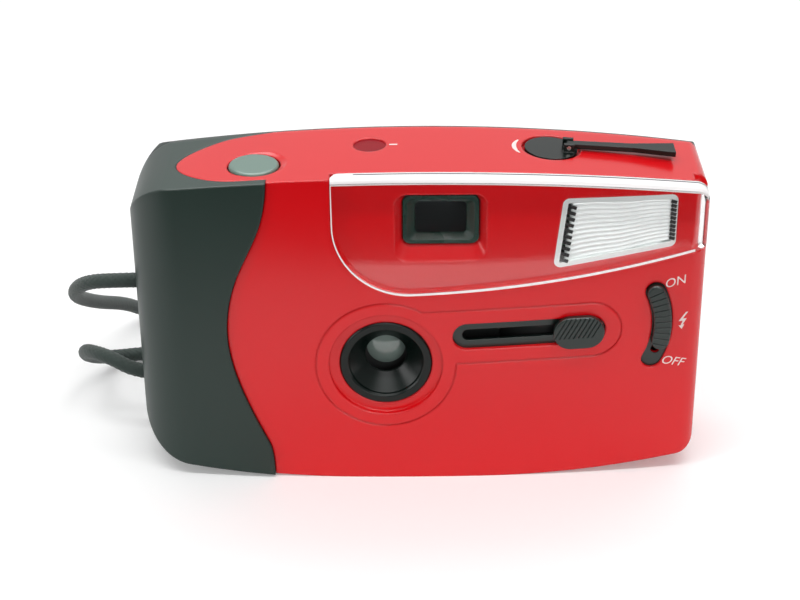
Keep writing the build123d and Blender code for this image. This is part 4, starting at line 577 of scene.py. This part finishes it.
# The curve that shows which way to rewind, thickest in its middle
turnMark = {"centre": (28.4, -0.9), "radius": 7.4, "width": 0.95, "spread": 26, "steps": 12,
            "taper": (0.12, 0.76)}
outerArc, innerArc = [], []
for k in range(turnMark["steps"] + 1):
    angle = math.radians(180 - turnMark["spread"] + 2 * turnMark["spread"] * k / turnMark["steps"])
    taper = math.sin(math.pi * (turnMark["taper"][0] + turnMark["taper"][1] * k / turnMark["steps"]))
    outerRadius = turnMark["radius"] + turnMark["width"] * taper
    for arc, radius in ((outerArc, outerRadius), (innerArc, turnMark["radius"])):
        arc.append((radius * math.cos(angle), radius * math.sin(angle)))
printOnTop("mark_rewind_turn", outlineMesh("mark_rewind_turn", outerArc + innerArc[::-1]), *turnMark["centre"])

# The flash switch's words, turned to follow its curve, and its lightning symbol
marks = {"wordSize": 2.9, "slant": 0.25, "onPlace": (54.35, 47.05), "onTurn": 14, "offPlace": (54.9, 27.7),
         "offTurn": -12, "boltPlace": (56.7, 37.7)}
onWord, offWord = (textMesh(words, marks["wordSize"], marks["slant"]) for words in ("ON", "OFF"))
printOnFront("label_on", onWord, *marks["onPlace"], marks["onTurn"])
printOnFront("label_off", offWord, *marks["offPlace"], marks["offTurn"])
bolt = ((0.5, 2.0), (-1.0, -0.2), (-0.1, -0.15), (-0.5, -1.3), (-0.95, -1.2), (-0.2, -2.2), (0.3, -0.95),
        (-0.08, -1.1), (0.75, 0.45), (-0.1, 0.4), (0.95, 2.0))
printOnFront("label_flash_symbol", outlineMesh("label_flash_symbol", bolt), *marks["boltPlace"], 0)
print("labels ready")

# Clear front panel, in mm: a sheet let into the front, which goes round the right corner
panel = {"left": -18.0, "corner": 16.2, "low": 45.6, "rise": 9.3, "riseShares": (0.24, 0.76), "proud": 0.3,
         "inner": 1.68, "topGap": 0.95, "cornerRadius": 3.6, "cornerSteps": 12, "wrapY": -8.0, "wrapSteps": 4,
         "step": 0.6, "levels": 10}


def stripMesh(name, rows, closed=False, crease=35):
    # A sheet through rows of points, or a closed bar whose rows go once round its section
    mesh = bpy.data.meshes.new(name)
    wide = len(rows[0])
    faces = [(k * wide + j, k * wide + (j + 1) % wide, (k + 1) * wide + (j + 1) % wide, (k + 1) * wide + j)
             for k in range(len(rows) - 1) for j in range(wide if closed else wide - 1)]
    if closed:
        faces += [tuple(reversed(range(wide))), tuple(range((len(rows) - 1) * wide, len(rows) * wide))]
    mesh.from_pydata([tuple(c * mm for c in point) for row in rows for point in row], [], faces)
    for polygon in mesh.polygons:
        polygon.use_smooth = True
    if closed:
        faceOutwards(mesh)
    mesh.set_sharp_from_angle(angle=math.radians(crease))
    return mesh


def lowerEdge(x):
    # Height of the panel's rising lower edge
    share = (x - panel["left"] - panel["corner"]) / (front["halfWidth"] - panel["left"] - panel["corner"])
    evenRise, growingRise = panel["riseShares"]
    return panel["low"] + panel["rise"] * (evenRise * share + growingRise * share ** 2)


# The edge's painted highlight, a white line: down the left side, round the corner and along the lower edge,
# growing thicker.
# Each of its points has the direction in which the panel lies
border = {"upperZ": 71.2, "sideSteps": 8, "sideStep": 1.2, "arcSteps": 24, "lowSteps": 40, "lowStep": 1.5,
          "lowInward": (-0.13, 0.99), "thin": 0.22, "thick": 0.62, "thickAfter": 40, "start": 0.04, "lift": 0.02}
borderLine = [
    (panel["left"], border["upperZ"] - k * border["sideStep"], 1, 0) for k in range(border["sideSteps"])]
centreX, centreZ = panel["left"] + panel["corner"], panel["low"] + panel["corner"]
for k in range(1, border["arcSteps"] + 1):
    angle = math.radians(180 + 90 * k / border["arcSteps"])
    borderLine.append((centreX + panel["corner"] * math.cos(angle), centreZ + panel["corner"] * math.sin(angle),
                       -math.cos(angle), -math.sin(angle)))
for k in range(1, border["lowSteps"] + 1):
    x = centreX + k * border["lowStep"]
    borderLine.append((x, lowerEdge(x), *border["lowInward"]))
rows = []
for k, (x, z, inX, inZ) in enumerate(borderLine):
    width = border["thin"] + (border["thick"] - border["thin"]) * min(1, k / border["thickAfter"])
    y = frontAt(x) - panel["proud"] - border["lift"]
    rows.append([(x + inX * reach, y, z + inZ * reach) for reach in (border["start"], width)])
# Painted highlight: the white line of light along the panel's edge
addPiece("panel_edge_highlight", stripMesh("panel_edge_highlight", rows), acrylicEdgeHighlight, "camera")

# The lip that bends over the top edge, with a rounded nose, white with painted highlight: how far each point of
# the nose lies behind the front and above the top. Behind it a flat dark strip is the painted shade of the gap
lip = {"right": 60.3, "height": 1.4, "depth": 3.1, "steps": 100, "start": 0.05, "rounding": 1.6, "foot": 0.2,
       "nose": ((0.6, 0.03), (0.1, -0.08), (-0.17, -0.38), (-0.33, -0.85), (0.1, -0.9))}
gap = {"back": 2.15, "width": 0.38, "lift": 0.06, "skippedSteps": 5}
noseBack, noseTop = lip["nose"][0]
rows, gapShadeRows = [], []
for k in range(lip["steps"] + 1):
    x = panel["left"] + lip["start"] + (lip["right"] - panel["left"]) * k / lip["steps"]
    ending = math.sqrt(max(0.0, 1 - (1 - min(1, (x - panel["left"]) / lip["rounding"])) ** 2))
    y, z = frontAt(x), roofAt(x)
    back, low = y + noseBack + (lip["depth"] - noseBack) * ending, z - lip["height"]
    section = [(back, z + noseTop)] + [(y + inward, z + above) for inward, above in lip["nose"]]
    section += [(y + lip["foot"], low), (back, low)]
    rows.append([(x, *point) for point in section])
    if k > gap["skippedSteps"]:
        gapShadeRows.append([(x, y + edge, z + gap["lift"]) for edge in (gap["back"] + gap["width"], gap["back"])])
# Painted highlight: the lip's white is the light in the acrylic's top edge
addPiece("panel_lip_highlight", stripMesh("panel_lip_highlight", rows, True), acrylicEdgeHighlight, "camera")

# The sheet itself, round the right corner: plan points with their outward normals
planLine = []
x = panel["left"]
cornerX = front["halfWidth"] - panel["cornerRadius"]
while x < cornerX:
    slope = 2 * front["bow"] * x / front["halfWidth"] ** 2
    planLine.append((x, frontAt(x), slope, -1))
    x += panel["step"]
cornerY = frontAt(cornerX) + panel["cornerRadius"]
for k in range(panel["cornerSteps"] + 1):
    angle = math.radians(-90 + 90 * k / panel["cornerSteps"])
    outX, outY = math.cos(angle), math.sin(angle)
    planLine.append((cornerX + panel["cornerRadius"] * outX, cornerY + panel["cornerRadius"] * outY, outX, outY))
for k in range(1, panel["wrapSteps"] + 1):
    y = cornerY + (panel["wrapY"] - cornerY) * k / panel["wrapSteps"]
    planLine.append((front["halfWidth"], y, 1, 0))
rows = []
for x, y, outX, outY in planLine:
    length = math.hypot(outX, outY)
    outX, outY = outX / length, outY / length
    reach = x - panel["left"]
    inside = min(x, front["halfWidth"])
    if reach < panel["corner"]:
        low = centreZ - math.sqrt(panel["corner"] ** 2 - (panel["corner"] - reach) ** 2)
    else:
        low = lowerEdge(inside)
    high = roofAt(inside) - panel["topGap"]
    proud = panel["proud"] * abs(outY)  # flush with the side of the casing
    levels = [low + (high - low) * k / panel["levels"] for k in range(panel["levels"] + 1)]
    rows.append([(x + outX * proud, y + outY * proud, z) for z in levels]
                + [(x - outX * panel["inner"], y - outY * panel["inner"], z) for z in reversed(levels)])
panelPiece = addPiece("clear_panel", stripMesh("clear_panel", rows, True), panelAcrylic, "camera")
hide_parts("window_panel")
# Painted shade: a flat dark strip where the gap behind the lip lies in shade
addPiece("panel_lip_gap_shade", stripMesh("panel_lip_gap_shade", gapShadeRows), dullBlack, "camera")
print("clear panel ready")

# Taking lens, in mm: a dome of coated glass in the mouth of the barrel, turned round its axis
dome = {"centre": (-6.95, 28.6), "front": -10.2, "rim": -9.42, "back": -7.2, "radius": 4.15, "pole": 0.001,
        "steps": 10, "around": 64, "merge": 0.004}
profile = []
for j in range(dome["steps"] + 1):
    share = j / dome["steps"]
    profile.append((dome["pole"] + dome["radius"] * share,
                    dome["front"] + (dome["rim"] - dome["front"]) * share ** 2))
profile += [(dome["radius"], dome["back"]), (dome["pole"], dome["back"])]
rows = []
for k in range(dome["around"] + 1):
    angle = 2 * math.pi * k / dome["around"]
    rows.append([(dome["centre"][0] + radius * math.cos(angle), y, dome["centre"][1] + radius * math.sin(angle))
                 for radius, y in profile])
domeMesh = stripMesh("taking_lens", rows)
faceOutwards(domeMesh, dome["merge"] * mm)
domePiece = addPiece("taking_lens", domeMesh, paintedReflectionGlass, "camera")
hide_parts("front_lens")

# Flash cover, in mm: a prismatic sheet whose wavy ribs run across, made by Geometry Nodes on a plain grid
flash = {"left": 29.2, "right": 54.0, "slant": 1.8, "top": 67.1, "lowLeft": 50.9, "lowRight": 55.2,
         "rim": 1.15, "depth": 2.45, "thickness": 0.9, "ribs": 12, "ribDepth": 0.3, "wave": 0.14,
         "waveLength": 13.0, "columns": 90, "rowsPerRib": 8}


def flashPoint(u, v):
    # A point of the flash window from its left (u 0) to its right and its foot (v 0) to its top, mm
    low = flash["lowLeft"] + (flash["lowRight"] - flash["lowLeft"]) * u + flash["rim"]
    high = flash["top"] - flash["rim"]
    z = low + (high - low) * v
    lean = flash["slant"] * (z - flash["lowLeft"]) / (flash["top"] - flash["lowLeft"])
    left = flash["left"] + flash["rim"] + lean
    x = left + (flash["right"] - flash["rim"] - left) * u
    return x, frontAt(x) + flash["depth"], z


def setInput(modifier, tree, name, value):
    # Sets a Geometry Nodes input by its socket's identifier
    for item in tree.interface.items_tree:
        if item.item_type == "SOCKET" and item.in_out == "INPUT" and item.name == name:
            modifier[item.identifier] = value


def startTree(name, inputs):
    # A Geometry Nodes tree with a geometry input and output and named inputs
    tree = bpy.data.node_groups.new(name, "GeometryNodeTree")
    tree.interface.new_socket("Geometry", in_out="INPUT", socket_type="NodeSocketGeometry")
    for label, kind in inputs:
        tree.interface.new_socket(label, in_out="INPUT", socket_type=kind)
    tree.interface.new_socket("Geometry", in_out="OUTPUT", socket_type="NodeSocketGeometry")
    return tree, addNode(tree, "NodeGroupInput"), addNode(tree, "NodeGroupOutput")


def grown(name, mesh, tree, values, finish=None):
    # Runs a tree on a mesh and gives back the plain mesh that it makes
    holder = bpy.data.objects.new(name, mesh)
    scene.collection.objects.link(holder)
    modifier = holder.modifiers.new(name, "NODES")
    modifier.node_group = tree
    for label, value in values.items():
        setInput(modifier, tree, label, value)
    if finish:
        finish(holder)
    result = bpy.data.meshes.new_from_object(holder.evaluated_get(bpy.context.evaluated_depsgraph_get()))
    holder.modifiers.clear()
    bpy.data.objects.remove(holder)
    return result


def thicken(holder):
    # Gives the ribbed sheet its wall
    wall = holder.modifiers.new("wall", "SOLIDIFY")
    wall.thickness, wall.offset = flash["thickness"] * mm, -1


columns, rowCount = flash["columns"], flash["ribs"] * flash["rowsPerRib"]
rows = [[flashPoint(i / columns, k / rowCount) for i in range(columns + 1)] for k in range(rowCount + 1)]
sheetMesh = stripMesh("flash_prisms", rows)
height = sheetMesh.attributes.new("height", "FLOAT", "POINT")
for index in range(len(sheetMesh.vertices)):
    height.data[index].value = (index // (columns + 1)) / rowCount
ribTree, ribIn, ribOut = startTree("flashRibs", (
    ("Rib Count", "NodeSocketFloat"), ("Rib Depth", "NodeSocketFloat"), ("Wave", "NodeSocketFloat"),
    ("Wave Length", "NodeSocketFloat"), ("Finish", "NodeSocketMaterial")))
share = addNode(ribTree, "GeometryNodeInputNamedAttribute", {"data_type": "FLOAT"}, {"Name": "height"})
position = addNode(ribTree, "GeometryNodeInputPosition")
place = addNode(ribTree, "ShaderNodeSeparateXYZ", {}, {0: position.outputs[0]})
cycle = addNode(ribTree, "ShaderNodeMath", {"operation": "DIVIDE"}, {
    0: place.outputs["X"], 1: ribIn.outputs["Wave Length"]})
turned = addNode(ribTree, "ShaderNodeMath", {"operation": "MULTIPLY"}, {0: cycle.outputs[0], 1: 2 * math.pi})
swing = addNode(ribTree, "ShaderNodeMath", {"operation": "SINE"}, {0: turned.outputs[0]})
sway = addNode(ribTree, "ShaderNodeMath", {"operation": "MULTIPLY"}, {
    0: swing.outputs[0], 1: ribIn.outputs["Wave"]})
count = addNode(ribTree, "ShaderNodeMath", {"operation": "MULTIPLY"}, {
    0: share.outputs["Attribute"], 1: ribIn.outputs["Rib Count"]})
phase = addNode(ribTree, "ShaderNodeMath", {"operation": "ADD"}, {0: count.outputs[0], 1: sway.outputs[0]})
halfTurns = addNode(ribTree, "ShaderNodeMath", {"operation": "MULTIPLY"}, {0: phase.outputs[0], 1: math.pi})
ridge = addNode(ribTree, "ShaderNodeMath", {"operation": "SINE"}, {0: halfTurns.outputs[0]})
bulge = addNode(ribTree, "ShaderNodeMath", {"operation": "ABSOLUTE"}, {0: ridge.outputs[0]})
out = addNode(ribTree, "ShaderNodeMath", {"operation": "MULTIPLY"}, {
    0: bulge.outputs[0], 1: ribIn.outputs["Rib Depth"]})
outward = addNode(ribTree, "ShaderNodeMath", {"operation": "MULTIPLY"}, {0: out.outputs[0], 1: -1.0})
shift = addNode(ribTree, "ShaderNodeCombineXYZ", {}, {"Y": outward.outputs[0]})
moved = addNode(ribTree, "GeometryNodeSetPosition", {}, {
    "Geometry": ribIn.outputs["Geometry"], "Offset": shift.outputs[0]})
real = addNode(ribTree, "GeometryNodeRealizeInstances", {}, {"Geometry": moved.outputs[0]})
dressed = addNode(ribTree, "GeometryNodeSetMaterial", {}, {
    "Geometry": real.outputs[0], "Material": ribIn.outputs["Finish"]})
ribTree.links.new(dressed.outputs[0], ribOut.inputs["Geometry"])
ribbed = grown("flash_prisms", sheetMesh, ribTree, {
    "Rib Count": float(flash["ribs"]), "Rib Depth": flash["ribDepth"] * mm, "Wave": flash["wave"],
    "Wave Length": flash["waveLength"] * mm, "Finish": paintedReflectorStyrene}, thicken)
flashPiece = addPiece("flash_prisms", ribbed, paintedReflectorStyrene, "camera")
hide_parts("flash_cover")

# Black teeth at both ends of the flash window, in mm, set by Geometry Nodes along its slanted sides.
# Each end has its place across the window and its share of the teeth's length
teeth = {"count": 10, "length": 2.3, "thickness": 0.3, "height": 0.7, "lean": 18.0, "depth": 1.86,
         "first": 0.6, "spare": 0.2, "ends": {"left": (-0.01, 1.0), "right": (1.015, 0.5)}}
toothTree, toothIn, toothOut = startTree("flashTeeth", (
    ("Length", "NodeSocketFloat"), ("Thickness", "NodeSocketFloat"), ("Height", "NodeSocketFloat"),
    ("Lean", "NodeSocketFloat"), ("Finish", "NodeSocketMaterial")))
boxSize = addNode(toothTree, "ShaderNodeCombineXYZ", {}, {
    "X": toothIn.outputs["Length"], "Y": toothIn.outputs["Thickness"], "Z": toothIn.outputs["Height"]})
tooth = addNode(toothTree, "GeometryNodeMeshCube", {}, {"Size": boxSize.outputs[0]})
leaning = addNode(toothTree, "ShaderNodeCombineXYZ", {}, {"Y": toothIn.outputs["Lean"]})
standing = addNode(toothTree, "GeometryNodeInstanceOnPoints", {}, {
    "Points": toothIn.outputs["Geometry"], "Instance": tooth.outputs["Mesh"], "Rotation": leaning.outputs[0]})
real = addNode(toothTree, "GeometryNodeRealizeInstances", {}, {"Geometry": standing.outputs[0]})
dressed = addNode(toothTree, "GeometryNodeSetMaterial", {}, {
    "Geometry": real.outputs[0], "Material": toothIn.outputs["Finish"]})
toothTree.links.new(dressed.outputs[0], toothOut.inputs["Geometry"])
for side, (u, lengthShare) in teeth["ends"].items():
    places = []
    for k in range(teeth["count"]):
        x, _, z = flashPoint(u, (k + teeth["first"]) / (teeth["count"] + teeth["spare"]))
        places.append((x * mm, (frontAt(x) + teeth["depth"]) * mm, z * mm))
    points = bpy.data.meshes.new("flash_teeth_" + side)
    points.from_pydata(places, [], [])
    made = grown("flash_teeth_" + side, points, toothTree, {
        "Length": teeth["length"] * lengthShare * mm, "Thickness": teeth["thickness"] * mm,
        "Height": teeth["height"] * mm, "Lean": math.radians(teeth["lean"]), "Finish": dullBlack})
    addPiece("flash_teeth_" + side, made, dullBlack, "camera")
print("taking lens and flash ready")

# The button's return spring, copied from the CAD spring onto a mesh of its own
springPiece = addPiece("return_spring", nodes["button_spring"].data.copy(), springSteel, "camera")
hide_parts("button_spring")
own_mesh(springPiece)
